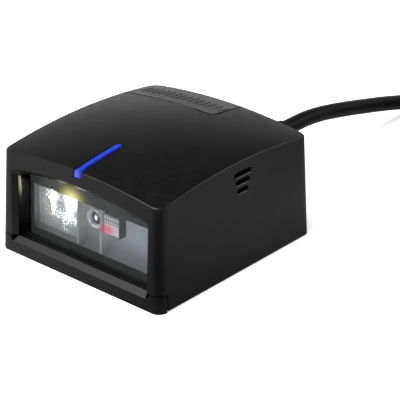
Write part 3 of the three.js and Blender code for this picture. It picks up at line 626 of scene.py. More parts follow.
def arch_ring(half, bottom, crest, radius, depth):
    """Flat-bottomed outline with a shallow arch and rounded shoulders."""
    def arch(x):
        return crest - x * x / (2 * ARCH_RADIUS)

    inner = half - radius
    ends = (half, arch(half) - radius), (half, arch(half)), (inner, arch(inner))
    right = [(half, bottom)]
    for i in range(11):
        t = i / 10
        weights = (1 - t) ** 2, 2 * t * (1 - t), t * t
        right.append(tuple(sum(w * end[axis] for w, end in zip(weights, ends)) for axis in (0, 1)))
    right += [(inner * (1 - i / 12), arch(inner * (1 - i / 12))) for i in range(1, 12)]
    left = [(-x, z) for x, z in reversed(right)]
    return [face_point(x, depth, z) for x, z in [*right, (0, crest), *left]]


def arch_slab(name, half, bottom, crest, radius, *depths):
    return loft(name, [arch_ring(half, bottom, crest, radius, depth) for depth in depths])


# ---- Top shell ----

SHELL_FOOT, LIP_TOP, LIP_BACK = 0.25, 3.7, -22.15
PIPE_HALF, PIPE_TIP, PIPE_LOW = 0.9, -10.8, 22.95
BADGE_RIGHT, BADGE_FRONT, BADGE_CORNER = 4.0, 13.3, 1.2
VENT_SLOTS = [(-0.8, 4.5, 22), (-0.45, 3.9, 20.2), (0, 3.4, 18.3)]
VENT_HALF_HEIGHT, VENT_FLARE = 0.54, 0.14
CABLE_PORT = (-6.45, 6.45, 20, 30, 6.7, 15.6)
# The window opening, from front to back: (depth, wider, higher).
OPENING_STEPS = [
    (-1, BEVEL + 1, BEVEL + 1), (0, BEVEL, BEVEL), (BEVEL, 0, 0), (BEVEL + 0.02, SLEEVE_SEAT, 0),
    (4, SLEEVE_SEAT, 0)]


def pipe_plan(grow):
    """Plan of the light pipe: straight sides and a pointed rear end."""
    half = PIPE_HALF + grow
    side = [(half, PIPE_TIP - 1.6), (half * 0.6, PIPE_TIP - 0.5)]
    mirrored = [(-x, y) for x, y in reversed(side)]
    return [(-half, -DEPTH / 2 - 1), (half, -DEPTH / 2 - 1), *side, (0, PIPE_TIP + grow), *mirrored]


def badge_plan(grow):
    """Plan of the badge plate: past the left and back edges, with one rounded inner corner."""
    right, front = BADGE_RIGHT + grow, BADGE_FRONT - grow
    return [(-FAR, front), *quarter_arc(right, front, BADGE_CORNER), (right, FAR), (-FAR, FAR)]


def vent_cutter(y0, y1, z):
    """A slot with round ends whose mouth is slightly flared."""
    wall_x = WIDTH / 2 - math.tan(DRAFT_ANGLE) * z
    half = (y1 - y0) / 2
    rings = []
    for x, grow in ((18, 0), (wall_x - VENT_FLARE, 0), (wall_x + 1, VENT_FLARE + 1)):
        reaches = half + grow, VENT_HALF_HEIGHT + grow, VENT_HALF_HEIGHT * 0.96 + grow
        rings.append([(x, y0 + half + a, z + b) for a, b in rounded_outline(*reaches, 6, 2)])
    return loft("vent", rings)


def make_shell():
    shell = housing_form("shell_moulding", 0, 0, 0)
    opening = loft("opening", [
        arch_ring(OPENING_HALF + wider, 2, OPENING_CREST + higher, 1.3, depth)
        for depth, wider, higher in OPENING_STEPS])
    carve(
        shell,
        housing_form("cavity", WALL, ROOF, -1),
        cuboid("front_relief", -FAR, FAR, -FAR, LIP_BACK + GAP, -2, LIP_TOP + 0.25),
        cuboid("foot", -FAR, FAR, -FAR, FAR, -2, SHELL_FOOT),
        opening,
        upright("pipe_slot", pipe_plan(0.25), PIPE_LOW - 0.2, 30),
        *[vent_cutter(*slot) for slot in VENT_SLOTS],
        cuboid("cable_port", *CABLE_PORT),
    )
    seat = keep(roof_layer("badge_seat", 1), upright("plan", badge_plan(0.42), 10, 40))
    carve(shell, seat)
    return dress(shell, housing_plastic, "housing_plastic", "top_shell", edge=0.07)


make_shell()


def make_light_pipe():
    strip = roof_layer("light_strip", 1.6)
    front = keep(housing_form("front", 0, 0, 0), cuboid("band", -5, 5, -DEPTH, -22.9, PIPE_LOW, 40))
    merge(strip, front)
    keep(strip, upright("plan", pipe_plan(0), PIPE_LOW, 40))
    return dress(strip, blue_light(), "blue_light", "status_light_pipe", edge=0.12)


def blue_light():
    """Lit from inside: brightest left of the middle, darker towards the right, and paler where it turns down
    the front, with a painted shadow of the slot's gap as a black line down its left edge.
    """
    look = Look("blue_light", (0.004, 0.008, 0.08), 0.28)
    x, y, _ = look.axes()
    across = look.total(look.math("DIVIDE", x, 2 * PIPE_HALF), 0.5)
    cloud = look.spread(look.noise(650, 3), -0.05, 0.05)
    # The first stops, near black at the left edge, are a painted shadow of the gap between the strip and its
    # slot.
    top = look.colors(
        look.total(across, cloud), (0.04, (0.0, 0.0, 0.012)), (0.12, (0.003, 0.008, 0.15)),
        (0.28, (0.03, 0.08, 0.7)), (0.42, (0.028, 0.085, 0.82)), (0.6, (0.008, 0.045, 0.66)),
        (0.84, (0.003, 0.02, 0.34)), (0.98, (0.0, 0.002, 0.05)))
    drop = look.colors(across, (0.05, (0.05, 0.05, 0.3)), (0.3, (0.2, 0.18, 0.8)), (0.8, (0.04, 0.06, 0.6)))
    look.set(Emission_Color=look.mix(look.spread(y, 1.0, 0.0, -24.1, -22.6), top, drop))
    look.set(Emission_Strength=0.9)
    look.rough(0.22, 0.36, 900)
    look.bump(look.noise(1500, 2), 0.006)
    return look


make_light_pipe()

# ---- Badge ----

RIB_COUNT, RIB_FIRST, RIB_PITCH, RIB_LEAN = 14, -19.2, 1.7, 0.35
RIB_HALF, RIB_FRONT, RIB_BACK, RIB_HEIGHT = 0.42, 16.1, 19.3, 0.25
RIB_LAYERS = [(0.0, -0.3), (0.0, 0.05), (-0.06, RIB_HEIGHT * 0.75), (-0.16, RIB_HEIGHT)]  # (grow, lift)


def badge_plastic():
    """A lighter plastic than the shell's, with painted shade down the plate's front and right edges, in the
    seam's groove.
    """
    look = moulded(
        "badge_plastic", (0.062, 0.062, 0.062), 0.5, grain=3200, depth=0.012, Specular_IOR_Level=0.6)
    x, y, _ = look.axes()
    # Painted shade: near black on the plate's front and right edge faces, in the groove round the plate.
    right = look.spread(x, 0.0, 1.0, BADGE_RIGHT - 0.16, BADGE_RIGHT - 0.06)
    front = look.spread(y, 1.0, 0.0, BADGE_FRONT + 0.06, BADGE_FRONT + 0.16)
    plain = look.shader.inputs["Base Color"].links[0].from_socket
    look.set(Base_Color=look.mix(look.math("MAXIMUM", right, front), plain, (0.001, 0.001, 0.001)))
    return look


def make_badge():
    look = badge_plastic()
    plate = keep(roof_layer("badge_moulding", 0.7), upright("plan", badge_plan(0), 10, 40))
    dress(plate, look, "housing_plastic", "badge_plate", edge=0.08)
    for i in range(RIB_COUNT):
        middle = RIB_FIRST + i * RIB_PITCH
        rings = []
        for grow, lift in RIB_LAYERS:
            left, right = middle - RIB_HALF - grow, middle + RIB_HALF + grow
            front, back = RIB_FRONT - grow, RIB_BACK + grow
            plan = [(left, front), (right, front), (right + RIB_LEAN, back), (left + RIB_LEAN, back)]
            rings.append([(x, y, roof_height(x, y) + lift) for x, y in plan])
        dress(loft(f"badge_rib_{i + 1}", rings), look, "housing_plastic", edge=0.05)


make_badge()

# ---- Base cover ----

FLOOR, SILL_FRONT, SILL_TOP, SILL_RUN, SILL_HALF = 1.8, 2.65, 3.75, 1.15, 19.35
LIP_THICKNESS = 1.35
LIP_HOLLOW = (-20.3, 20.3, LIP_THICKNESS - DEPTH / 2 + 0.1, -20, 1.2, 10)
FRONT_FLOOR = (-20.8, 20.8, -23.4, -20, 0.4, FLOOR - 0.05)
SILL_END = [(SILL_HALF - 0.4, 2.7), (SILL_HALF + 0.15, 2.7), (20.4, 5), (18, 5)]  # the cut at each end
LABEL_RECESS = (-9, 9, -4.5, 8.5, -1, 0.35)
SCREW_HOLE, INSERT_HOLE, RELEASE_HOLE = (2, 1.1), (2.25, 3.3), (1.2, 3)  # (radius, depth)
RELEASE_PLACE = Vector((0, 19.3, 0))


def hole(place, radius, depth, chamfer=0.15):
    return post("hole", place.x, place.y, [(radius + chamfer + 1, -1), (radius, chamfer), (radius, depth)])


def make_base():
    low = cuboid("low", -FAR, FAR, -FAR, FAR, -1, FLOOR)
    floor = keep(housing_form("base_moulding", WALL + GAP, 0, 0), low)
    merge(floor, cuboid("front_floor", *FRONT_FLOOR))
    lip = keep(housing_form("lip", 0, 0, 0), cuboid("band", -FAR, FAR, -FAR, LIP_BACK, -1, LIP_TOP))
    slot = [(-2, SILL_FRONT), (0, SILL_FRONT), (SILL_RUN, SILL_TOP), (8, SILL_TOP), (8, 12), (-2, 12)]
    sill = loft("sill", [[face_point(x, d, h) for d, h in slot] for x in (-SILL_HALF, SILL_HALF)])
    notches = [
        loft("notch", [[face_point(side * x, d, z) for x, z in SILL_END] for d in (-2, 8)])
        for side in (-1, 1)]
    carve(lip, cuboid("hollow", *LIP_HOLLOW), sill, *notches)
    merge(floor, lip)
    holes = [hole(middle_mm(f"base_screw_{i + 1}"), *SCREW_HOLE) for i in range(4)]
    holes += [hole(middle_mm(f"mount_insert_{side}"), *INSERT_HOLE) for side in ("left", "right")]
    holes.append(hole(RELEASE_PLACE, *RELEASE_HOLE))
    carve(floor, cuboid("label_recess", *LABEL_RECESS), *holes)
    return dress(floor, housing_plastic, "housing_plastic", "base_cover", edge=0.06)


make_base()

# ---- Window ----


STEPS = [(3.3, 2.4), (3.5, 3.2), (3.95, 4)]  # the bezel's ledge rises in steps: (height, depth of its end)
STEP_EDGES = [face_point(0, end, height)[1] for (_, end), (height, _) in zip(STEPS, STEPS[1:])]
GLASS_IOR = 1.42


def make_bezel():
    bezel = arch_slab("bezel_moulding", 19.9, 2.15, 21.4, 1.6, 1.8, 5.35)
    sleeve = OPENING_HALF + SLEEVE_SEAT - 0.03, 5.0, OPENING_CREST - 0.03
    merge(bezel, arch_slab("sleeve", *sleeve, 1.3, BEVEL + 0.06, 2))
    steps = [arch_slab("step", 18.35, height, 20.1, 1.2, 1, end) for height, end in STEPS]
    carve(bezel, *steps, arch_slab("seat", 19.05, 3.0, 20.65, 1.5, PANE_DEPTH - GAP, 6))
    return dress(bezel, gloss_black(), "gloss_black", "window_bezel", edge=0.05)


make_bezel()


def window_glass():
    """Clear glass: straight through, with a mirror reflection that grows towards grazing angles."""
    look = Look("window_glass", (1, 1, 1), 0.0)
    look.nodes.remove(look.shader)
    through = look.node("BsdfTransparent", {"Color": (0.93, 0.95, 0.95)})
    mirror = look.node("BsdfGlossy", {"Roughness": look.spread(look.noise(90), 0.005, 0.02)})
    facing_away = look.node("NewGeometry", {}).outputs["Backfacing"]
    fresnel = look.node("Fresnel", {"IOR": look.spread(facing_away, GLASS_IOR, 1 / GLASS_IOR, 0, 1)})
    mixed = look.node("MixShader", {0: fresnel.outputs[0], 1: through.outputs[0], 2: mirror.outputs[0]})
    look.links.new(mixed.outputs[0], look.nodes["Material Output"].inputs["Surface"])
    return look


def make_pane():
    back = PANE_DEPTH + PANE_THICKNESS
    pane = loft("pane_glass", [
        arch_ring(PANE_HALF - inset, PANE_LOW + inset, PANE_CREST - inset, 1.2, depth)
        for inset, depth in ((0.1, PANE_DEPTH), (0, PANE_DEPTH + 0.1), (0, back - 0.1), (0.1, back))])
    return dress(pane, window_glass(), "window_clear", "window_pane", sharp=30)


make_pane()

# ---- Scan engine ----

APERTURE_HALF = 18.1
CHAMBERS = {"lamps": (-APERTURE_HALF, -5.7), "camera": (-5.25, 0.85), "aimer": (1.3, APERTURE_HALF)}
CHAMBER_LOW, CHAMBER_HIGH, COVE = 3.8, 16.0, 1.3
ENGINE_FRONT = -22  # in front of all that the engine holds
SHROUD_DEPTH, SHROUD_WALL = 5.7, 0.5
SHROUD_BACK = -15.56  # just in front of the chassis
SHROUD_WEB = 0.4  # the chambers' back wall


def shroud_grey():
    """Grey plastic with the lamps' stray light painted on as glow: evenly lit, brighter and bluer to the
    right, brighter higher up, with a red patch of the aimer's light and a lit front edge at the left.
    """
    look = moulded("shroud_grey", (0.07, 0.07, 0.072), 0.7, grain=1800, depth=0.005, Specular_IOR_Level=0.2)
    x, y, z = look.axes()
    stray = look.colors(
        look.spread(x, 0, 1, -APERTURE_HALF, APERTURE_HALF), (0.0, (0.12, 0.12, 0.115)),
        (0.4, (0.18, 0.18, 0.185)), (0.7, (0.225, 0.235, 0.262)), (1.0, (0.215, 0.235, 0.285)))
    # Painted light: a red patch where the aimer's light would fall.
    painted_red_light = look.spot(x, z, (0.7, 9.9), (1.1, 0.6))
    look.set(Emission_Color=look.mix(painted_red_light, stray, (0.5, 0.03, 0.1)))
    # Painted light: brighter higher up, and a lit strip at the front of the left wall, lower down.
    height = look.spread(z, 0.38, 1.1, 4.0, 8.8)
    front = look.product(
        look.spread(y, 0.5, 0.0, -18.45, -18.3), look.spread(x, 0.0, 1.0, -17.8, -16),
        look.spread(z, 1.0, 0.0, 7.5, 9.5))
    look.set(Emission_Strength=look.total(height, front))
    return look


def chamber(x0, x1, back):
    """A cutter for a chamber whose floor curves up into its back wall."""
    floor_line = [(ENGINE_FRONT, CHAMBER_LOW), *quarter_arc(back, CHAMBER_LOW, COVE)]
    outline = [(ENGINE_FRONT, CHAMBER_HIGH), *floor_line, (back, CHAMBER_HIGH)]
    return loft("chamber", [[(x, y, z) for y, z in outline] for x in (x0, x1)])


def make_shroud():
    half = APERTURE_HALF + SHROUD_WALL
    low, high = CHAMBER_LOW - SHROUD_WALL, CHAMBER_HIGH + SHROUD_WALL
    corners = [(-half, low), (half, low), (half, high), (-half, high)]
    front = [face_point(x, SHROUD_DEPTH, z) for x, z in corners]
    shroud = loft("light_shroud_moulding", [front, [(x, SHROUD_BACK, z) for x, z in corners]])
    openings = []
    for node in ("illumination_lens", "aimer_housing"):
        low, high = box_mm(node)
        openings.append(cuboid("opening", low.x, high.x, ENGINE_FRONT, -14, low.z, high.z))
    barrel = middle_mm("camera_barrel")
    openings.append(turned_along_y("barrel_opening", barrel.x, barrel.z, [(2.2, ENGINE_FRONT), (2.2, -14)]))
    backs = {name: SHROUD_BACK - SHROUD_WEB for name in CHAMBERS}
    backs["lamps"] = box_mm("illumination_lens")[0].y + 0.05
    carve(shroud, *[chamber(*CHAMBERS[name], backs[name]) for name in CHAMBERS], *openings)
    return dress(shroud, shroud_grey(), "engine_grey", "light_shroud", edge=0.04)


make_shroud()


def make_gasket():
    """The dark frame behind the pane, with a faint painted glow all over and a painted yellow glow of the
    lamp's light above the lamps.
    """
    low, high = 4.7, 14.9
    rim = arch_slab("window_gasket_frame", PANE_HALF, PANE_LOW, PANE_CREST, 1.2, 5.0, 5.35)
    corners = [(-APERTURE_HALF, low), (APERTURE_HALF, low), (APERTURE_HALF, high), (-APERTURE_HALF, high)]
    carve(rim, loft("aperture", [[face_point(x, d, z) for x, z in corners] for d in (4, 7)]))
    look = moulded(
        "gasket_foam", (0.028, 0.028, 0.0285), 0.8, grain=4200, depth=0.003, Specular_IOR_Level=0.2)
    x, _, z = look.axes()
    # Painted glow: a yellow halo of the lamp's light above the lamps, and a faint glow all over the frame.
    halo = look.spot(x, z, (-6.6, 14.3), (2.4, 2.0))
    halo_tint = look.colors(look.noise(900), (0.3, (0.85, 0.75, 0.22)), (0.7, (1.0, 0.9, 0.35)))
    look.set(Emission_Color=look.mix(look.spread(halo, 0, 1, 0.0, 0.05), (1.0, 1.0, 0.98), halo_tint))
    look.set(Emission_Strength=look.total(look.product(halo, 1.3), 0.02))
    return dress(rim, look, "soft_rubber", "window_gasket")


make_gasket()

# Where the light shows through the diffuser: (x, z, half width, half height, strength).
HOT_SPOTS = [
    (-7.7, 13.5, 1.3, 1.4, 16.0), (-8.4, 11.2, 1.1, 2.0, 1.5),
    (-13.5, 12.3, 0.6, 1.9, 22.0), (-13.0, 13.2, 1.2, 0.8, 3.0)]
BROKEN_LIGHT = [
    (-14.5, 12.6, 0.7, 1.5, 1.6), (-9.0, 8.8, 3.2, 0.9, 3.2),
    (-11.8, 10.8, 4.8, 3.4, 0.6), (-9.9, 6.8, 0.9, 1.4, 0.8)]
LIT_FROM = -13.95  # the second lamp's strong light ends sharply here
PILLOW_DEPTH, PILLOW_COLUMNS, PILLOW_ROWS = 0.12, 6, 6.5  # the last two in grid steps


def diffuser_glow():
    """Faceted clear plastic, lit from behind: hot spots, and light that the facets break into speckle."""
    look = Look("diffuser_glow", (0.25, 0.25, 0.25), 0.3)
    x, _, z = look.axes()

    def glow(spots):
        return look.total(*[
            look.product(look.spot(x, z, (cx, cz), (hx, hz)), power) for cx, cz, hx, hz, power in spots])

    grain = look.spread(look.noise(2300, 6), 0.0, 1.6, 0.47, 0.64)
    soft = look.spread(look.noise(700, 2), 0.7, 1.15)
    hot = look.product(glow(HOT_SPOTS), soft, look.spread(x, 0.0, 1.0, LIT_FROM, LIT_FROM + 0.12))
    speckled = look.product(glow(BROKEN_LIGHT), grain)
    look.set(Emission_Strength=look.total(hot, speckled, look.spread(z, 0.05, 0.095, 5.0, 11.0)))
    yellow = look.math("MAXIMUM", *[
        look.spot(x, z, *place) for place in (((-6.9, 14.2), (2.0, 1.8)), ((-13.7, 12.5), (0.6, 4.0)))])
    look.set(Emission_Color=look.colors(
        yellow, (0.0, (0.93, 0.94, 1.0)), (0.15, (1.0, 0.96, 0.85)), (0.4, (1.0, 0.88, 0.42)),
        (0.85, (1.0, 0.97, 0.6))))
    return look


def make_diffuser():
    """A lens sheet whose front is a grid of small pillows."""
    low, high = box_mm("illumination_lens")
    columns, rows = 54, 52
    row = columns + 1
    points, faces = [], []
    for j in range(rows + 1):
        for i in range(row):
            x = low.x + (high.x - low.x) * i / columns
            z = low.z + (high.z - low.z) * j / rows
            across, up = abs(math.sin(i * math.pi / PILLOW_COLUMNS)), abs(math.sin(j * math.pi / PILLOW_ROWS))
            points.append((x, low.y + PILLOW_DEPTH * (1 - across * up * eased(z, 6.0, 8.0)), z))
    for corner in range(rows * row):
        if corner % row < columns:
            faces.append((corner, corner + 1, corner + row + 1, corner + row))
    last = rows * row
    rim = [*range(columns), *range(columns, last, row)]
    rim += [*range(last + columns, last, -1), *range(last, 0, -row)]
    start = len(points)
    points += [(points[i][0], high.y, points[i][2]) for i in rim]
    for k, corner in enumerate(rim):
        n = (k + 1) % len(rim)
        faces.append((corner, rim[n], start + n, start + k))
    faces.append(tuple(range(start, len(points))))
    sheet = add_mesh("diffuser_sheet", points, faces)
    return dress(sheet, diffuser_glow(), "clear_plastic", "illumination_lens")


make_diffuser()


THREADS, THREAD_PITCH, THREAD_DEPTH = 4, 0.22, 0.1
BORE, MOUTH = 0.9, 1.6


def make_barrel():
    low, high = box_mm("camera_barrel")
    centre, radius = (low + high) / 2, (high.x - low.x) / 2
    front, inner = low.y, radius - THREAD_DEPTH
    profile = [(BORE, high.y), (radius, high.y)]
    for i in range(THREADS):
        y = front + 0.9 - i * THREAD_PITCH
        profile += [(radius, y), (inner, y - 0.06), (inner, y - 0.14), (radius, y - 0.2)]
    profile += [(radius - 0.08, front), (MOUTH + 0.12, front), (MOUTH, front + 0.12), (MOUTH, front + 1.2)]
    profile.append((BORE, front + 1.2))
    barrel = turned_along_y("camera_barrel_turned", centre.x, centre.z, profile, looped=True)
    look = moulded("barrel_grey", (0.42, 0.42, 0.45), 0.3, grain=1500, depth=0.02)
    # Painted highlights: the barrel glows through its emission, with light arcs in place of reflections,
    # though it is no lamp.
    painted_light_arcs = look.colors(look.noise(1100, 3), (0.42, (0.04, 0.04, 0.05)), (0.6, (0.5, 0.5, 0.56)))
    look.set(Emission_Color=painted_light_arcs, Emission_Strength=0.5)
    return dress(barrel, look, "gloss_black", "camera_barrel")


def coated_lens(x, z):
    """Dark coated glass with one painted glint, a glowing spot near the middle."""
    look = Look("coated_lens", (0.02, 0.02, 0.05), 0.02, Coat_Weight=1.0, Coat_Roughness=0.02)
    look.tint((0.015, 0.015, 0.05), (0.03, 0.02, 0.06), 900)
    look.bump(look.noise(300), 0.0005)
    across, _, up = look.axes()
    # Painted glint: an emission spot in place of a reflected lamp.
    painted_glint = look.spot(across, up, (x + 0.1, z + 0.1), (0.42, 0.6))
    look.set(Emission_Color=look.colors(painted_glint, (0.0, (0.1, 0.1, 0.13)), (1.0, (0.95, 0.97, 1.0))))
    look.set(Emission_Strength=look.product(painted_glint, 2.4))
    return look


def make_lens():
    low, high = box_mm("camera_lens")
    centre, radius, rim = (low + high) / 2, (high.x - low.x) / 2, 0.14
    bulge = (high.y - low.y) / 2 - rim
    shares = [i / 12 for i in range(1, 13)]
    front = [(radius * share, centre.y - rim - bulge * (1 - share * share)) for share in shares]
    back = [(r, 2 * centre.y - y) for r, y in reversed(front)]
    lens = turned_along_y("camera_lens_ground", centre.x, centre.z, front + back)
    return dress(lens, coated_lens(centre.x, centre.z), "clear_plastic", "camera_lens")


make_barrel()
make_lens()

AIMER_WALL, AIMER_RIM = 0.4, 0.12
GROOVES, GROOVE_PITCH, GROOVE_WIDTH, GROOVE_DEPTH = 8, 0.52, 0.26, 0.14
RIB_STEPS, RIB_LENGTH = 60, 7.5  # the lens has a rib for each 7.5 of 60 steps


def aimer_glow():
    """White marks above and stripes below, with the aimer's red light at the lower left."""
    look = Look("aimer_glow", (0.2, 0.2, 0.2), 0.2)
    x, _, z = look.axes()
    ticks = look.spread(look.wave(x, 10.0), 0.0, 1.0, -0.1, 0.4)
    rows = look.spread(look.wave(z, 7.5), 0.05, 1.0, -0.3, 0.2)
    upper = look.spread(z, 0.0, 1.0, 11.5, 11.7)
    stripes = look.spread(look.wave(z, 12.0), 0.25, 1.0, -0.3, 0.5)
    pattern = look.total(
        look.product(upper, ticks, rows), look.product(look.math("SUBTRACT", 1.0, upper), stripes))
    red = look.spot(x, z, (2.4, 10.2), (1.5, 1.0))
    look.set(Emission_Strength=look.total(look.product(pattern, 0.85), 0.1))
    look.set(Emission_Color=look.colors(
        red, (0.0, (0.55, 0.54, 0.58)), (0.2, (0.68, 0.42, 0.48)), (0.5, (0.85, 0.12, 0.24)),
        (0.9, (0.9, 0.05, 0.15))))
    look.bump(look.noise(1500, 3), 0.02)
    return look


def make_aimer():
    low, high = box_mm("aimer_housing")
    front = low.y

    def hollow(inset, y0, y1):
        return cuboid("hollow", low.x + inset, high.x - inset, y0, y1, low.z + inset, high.z - inset)

    block = cuboid("aimer_block", low.x, high.x, front, high.y, low.z, high.z)
    grooves = []
    for i in range(GROOVES):
        x = low.x + 0.3 + i * GROOVE_PITCH
        grooves.append(cuboid(
            "groove", x, x + GROOVE_WIDTH, front + 0.3, high.y - 0.3, high.z - GROOVE_DEPTH, high.z + 1))
    carve(block, hollow(AIMER_RIM, front - 1, front + 0.6), hollow(AIMER_WALL, front, high.y - 0.8), *grooves)
    aimer_grey = moulded("aimer_grey", (0.12, 0.12, 0.13), 0.5, depth=0.008)
    dress(block, aimer_grey, "engine_grey", "aimer_housing", edge=0.04)
    inset = AIMER_RIM + 0.03
    foot, top, back = low.z + inset, high.z - inset, front + 0.4
    outline = [(back, foot)]
    for i in range(RIB_STEPS + 1):
        rib = abs(math.sin(i * math.pi / RIB_LENGTH))
        outline.append((front + 0.1 * (1 - rib), foot + (top - foot) * i / RIB_STEPS))
    outline.append((back, top))
    lens = loft("aimer_lens_ribbed", [
        [(x, y, z) for y, z in outline] for x in (low.x + inset, high.x - inset)])
    dress(lens, aimer_glow(), "clear_plastic", "aimer_lens", sharp=60)


make_aimer()

# ---- Strain relief, tie and plug ----


def rounded_run(name, centre, profile, corner_steps, side_steps):
    """A rounded body along Y. The profile's points are (y, half width, half height, corner radius)."""
    return loft(name, [
        [(centre.x + x, y, centre.z + z) for x, z in rounded_outline(*section, corner_steps, side_steps)]
        for y, *section in profile])


RELIEF_RINGS, RELIEF_START, RELIEF_PITCH = 6, 26.4, 2.3


def make_strain_relief():
    """A block in the port, a shoulder, flexing rings that taper, and a collar round the cable."""
    low, high = box_mm("strain_relief")
    end = high.y + GAP
    profile = [(low.y, 4.8, 2.8, 1.4), (low.y + 0.1, 4.9, 2.9, 1.45), (24.6, 4.9, 2.9, 1.45)]
    for i in range(7):
        ease = eased(i / 6, 0, 1)
        profile.append((24.7 + 0.7 * i / 6, 4.85 - 1.15 * ease, 2.88 - 0.08 * ease, 1.45 + 0.95 * ease))
    for i in range(RELIEF_RINGS):
        y = RELIEF_START + i * RELIEF_PITCH
        outer, inner = 3.3 - i * 0.16, 2.3 - i * 0.07
        tall, near, round_ = min(outer, 2.8), inner + 0.06, inner * 0.98
        profile += [
            (y - 0.12, outer, tall, inner), (y, outer - 0.04, tall - 0.04, inner),
            (y + 0.08, outer - 0.2, tall - 0.2, inner * 0.95), (y + 0.18, near, near, round_),
            (y + 0.26, inner, inner, round_), (y + 0.86, inner, inner, round_),
            (y + 0.94, near, near, round_),
            (y + 1.02, outer - 0.28, min(outer - 0.28, 2.62), inner * 0.95),
            (y + 1.14, outer - 0.1, min(outer - 0.1, 2.76), inner)]
    profile += [(40.5, 2.1, 2.1, 2.05), (40.62, 2.14, 2.14, 2.1)]
    for y, half in ((40.75, 2.28), (40.95, 2.35), (end - 0.35, 2.35), (end - 0.1, 2.28), (end, 2.1)):
        profile.append((y, half, half, half * 0.98))
    relief = rounded_run("strain_relief_moulding", (low + high) / 2, profile, 10, 3)
    return dress(relief, relief_rubber, "soft_rubber", "strain_relief", sharp=50)


make_strain_relief()


def make_tie():
    """A strap round the turns, as one closed band."""
    low, high = box_mm("coil_tie")
    centre = (low + high) / 2
    half = (high - low) / 2
    thickness, edge = 0.55, 0.12
    rings = []
    for x, grow in (
        (low.x, 0.1), (low.x, thickness - 0.1), (low.x + edge, thickness), (high.x - edge, thickness),
        (high.x, thickness - 0.1), (high.x, 0.1), (high.x - edge, 0), (low.x + edge, 0),
    ):
        reaches = half.y - thickness + grow, half.z - thickness + grow, 2.4 + grow
        rings.append([(x, centre.y + y, centre.z + z) for y, z in rounded_outline(*reaches, 10, 4)])
    strap = loft("tie_strap", rings, looped=True)
    return dress(strap, tie_weave(), "soft_rubber", "coil_tie", sharp=60)


tie = make_tie()


NECK_RINGS, NECK_PITCH = 4, 1.6
GRIP_GROOVES, GRIP_START, GRIP_PITCH = 5, 58.5, 1.7


def make_usb_grip():
    """A ringed neck, a flared shoulder and a grooved grip."""
    low, high = box_mm("usb_overmould")
    end = high.y + GAP
    profile = [(end, 2.5, 2.5, 2.4), (end - 0.15, 2.6, 2.6, 2.5)]
    for i in range(NECK_RINGS):
        y = high.y - (i + 1) * NECK_PITCH
        wide, tall = 0.1 * i, 0.08 * i
        profile += [
            (y + 0.5, 2.65 + wide, 2.65 + tall, 2.5), (y + 0.4, 2.4 + wide, 2.4 + tall, 2.3),
            (y - 0.1, 2.4 + wide, 2.4 + tall, 2.3), (y - 0.2, 2.7 + wide, 2.68 + tall, 2.5)]
    for i in range(9):
        angle = math.radians(90 * i / 8)
        grow, back = math.sin(angle), 1 - math.cos(angle)
        profile.append((66.4 - 1.6 * back, 3.1 + 4.4 * grow, 3.0 + 0.85 * grow, 2.6 - 0.8 * grow))
    profile += [(64.4, 7.6, 3.9, 1.8), (61, 7.72, 3.92, 1.8)]
    for i in range(GRIP_GROOVES):
        y = GRIP_START - i * GRIP_PITCH
        profile += [
            (y, 7.75, 3.93, 1.8), (y - 0.15, 7.5, 3.68, 1.7),
            (y - 0.75, 7.5, 3.68, 1.7), (y - 0.9, 7.77, 3.94, 1.8)]
    profile += [(48.4, 7.8, 3.95, 1.8), (47.4, 7.75, 3.9, 1.8), (46.9, 7.5, 3.7, 1.7), (low.y, 7.1, 3.3, 1.4)]
    grip = rounded_run("usb_grip_moulding", (low + high) / 2, profile, 8, 4)
    return dress(grip, usb_grip, "soft_rubber", "usb_overmould", sharp=50)


usb_plug = make_usb_grip()


SHEET = 0.3  # thickness of the plug's folded steel


def make_usb_shell():
    low, high = box_mm("usb_shell")
    centre, half = (low + high) / 2, (high - low) / 2

    def tube(name, inset, radius, y0, y1):
        profile = [(y, half.x - inset, half.z - inset, radius) for y in (y0, y1)]
        return rounded_run(name, centre, profile, 5, 2)

    shell = tube("usb_shell_folded", 0, 0.5, low.y, high.y + GAP)
    cuts = [tube("mouth", SHEET, 0.3, low.y - 1, high.y - 0.3)]
    for x in (centre.x - 2.6, centre.x + 2.6):
        for z in (centre.z, centre.z - 4):
            cuts.append(cuboid("window", x - 1.1, x + 1.1, 39, 41.2, z, z + 4))
    seam = centre.x - 0.05, centre.x + 0.05
    cuts.append(cuboid("seam", *seam, low.y - 1, high.y + 1, low.z - 1, low.z + 0.2))
    carve(shell, *cuts)
    return dress(shell, usb_steel, "screw_steel", "usb_shell", edge=0.05)


usb_shell = make_usb_shell()


def make_usb_contacts():
    low, high = box_mm("usb_tongue")
    centre = middle_mm("usb_tongue")
    contacts = []
    for i, (place, reach) in enumerate(((-3.5, 1.2), (-1.0, 2.2), (1.0, 2.2), (3.5, 1.2))):
        left, right = centre.x + place - 0.5, centre.x + place + 0.5
        front, foot = low.y + reach, high.z - 0.1
        contact = loft(f"usb_contact_{i + 1}", [
            [(left, y, high.z + lift), (right, y, high.z + lift), (right, y, foot), (left, y, foot)]
            for y, lift in ((front, 0.0), (front + 0.4, 0.14), (high.y - 0.5, 0.14), (high.y - 0.2, 0.0))])
        contacts.append(dress(contact, contact_gold, "insert_brass", edge=0.03))
    return contacts


usb_contacts = make_usb_contacts()

# ---- CAD nodes that stay ----


def glowing(name, color, strength):
    look = Look(name, shade(color, 0.6), 0.3, Emission_Strength=strength)
    look.set(Emission_Color=look.colors(look.noise(700), (0.3, shade(color, 0.8)), (0.7, color)))
    return look


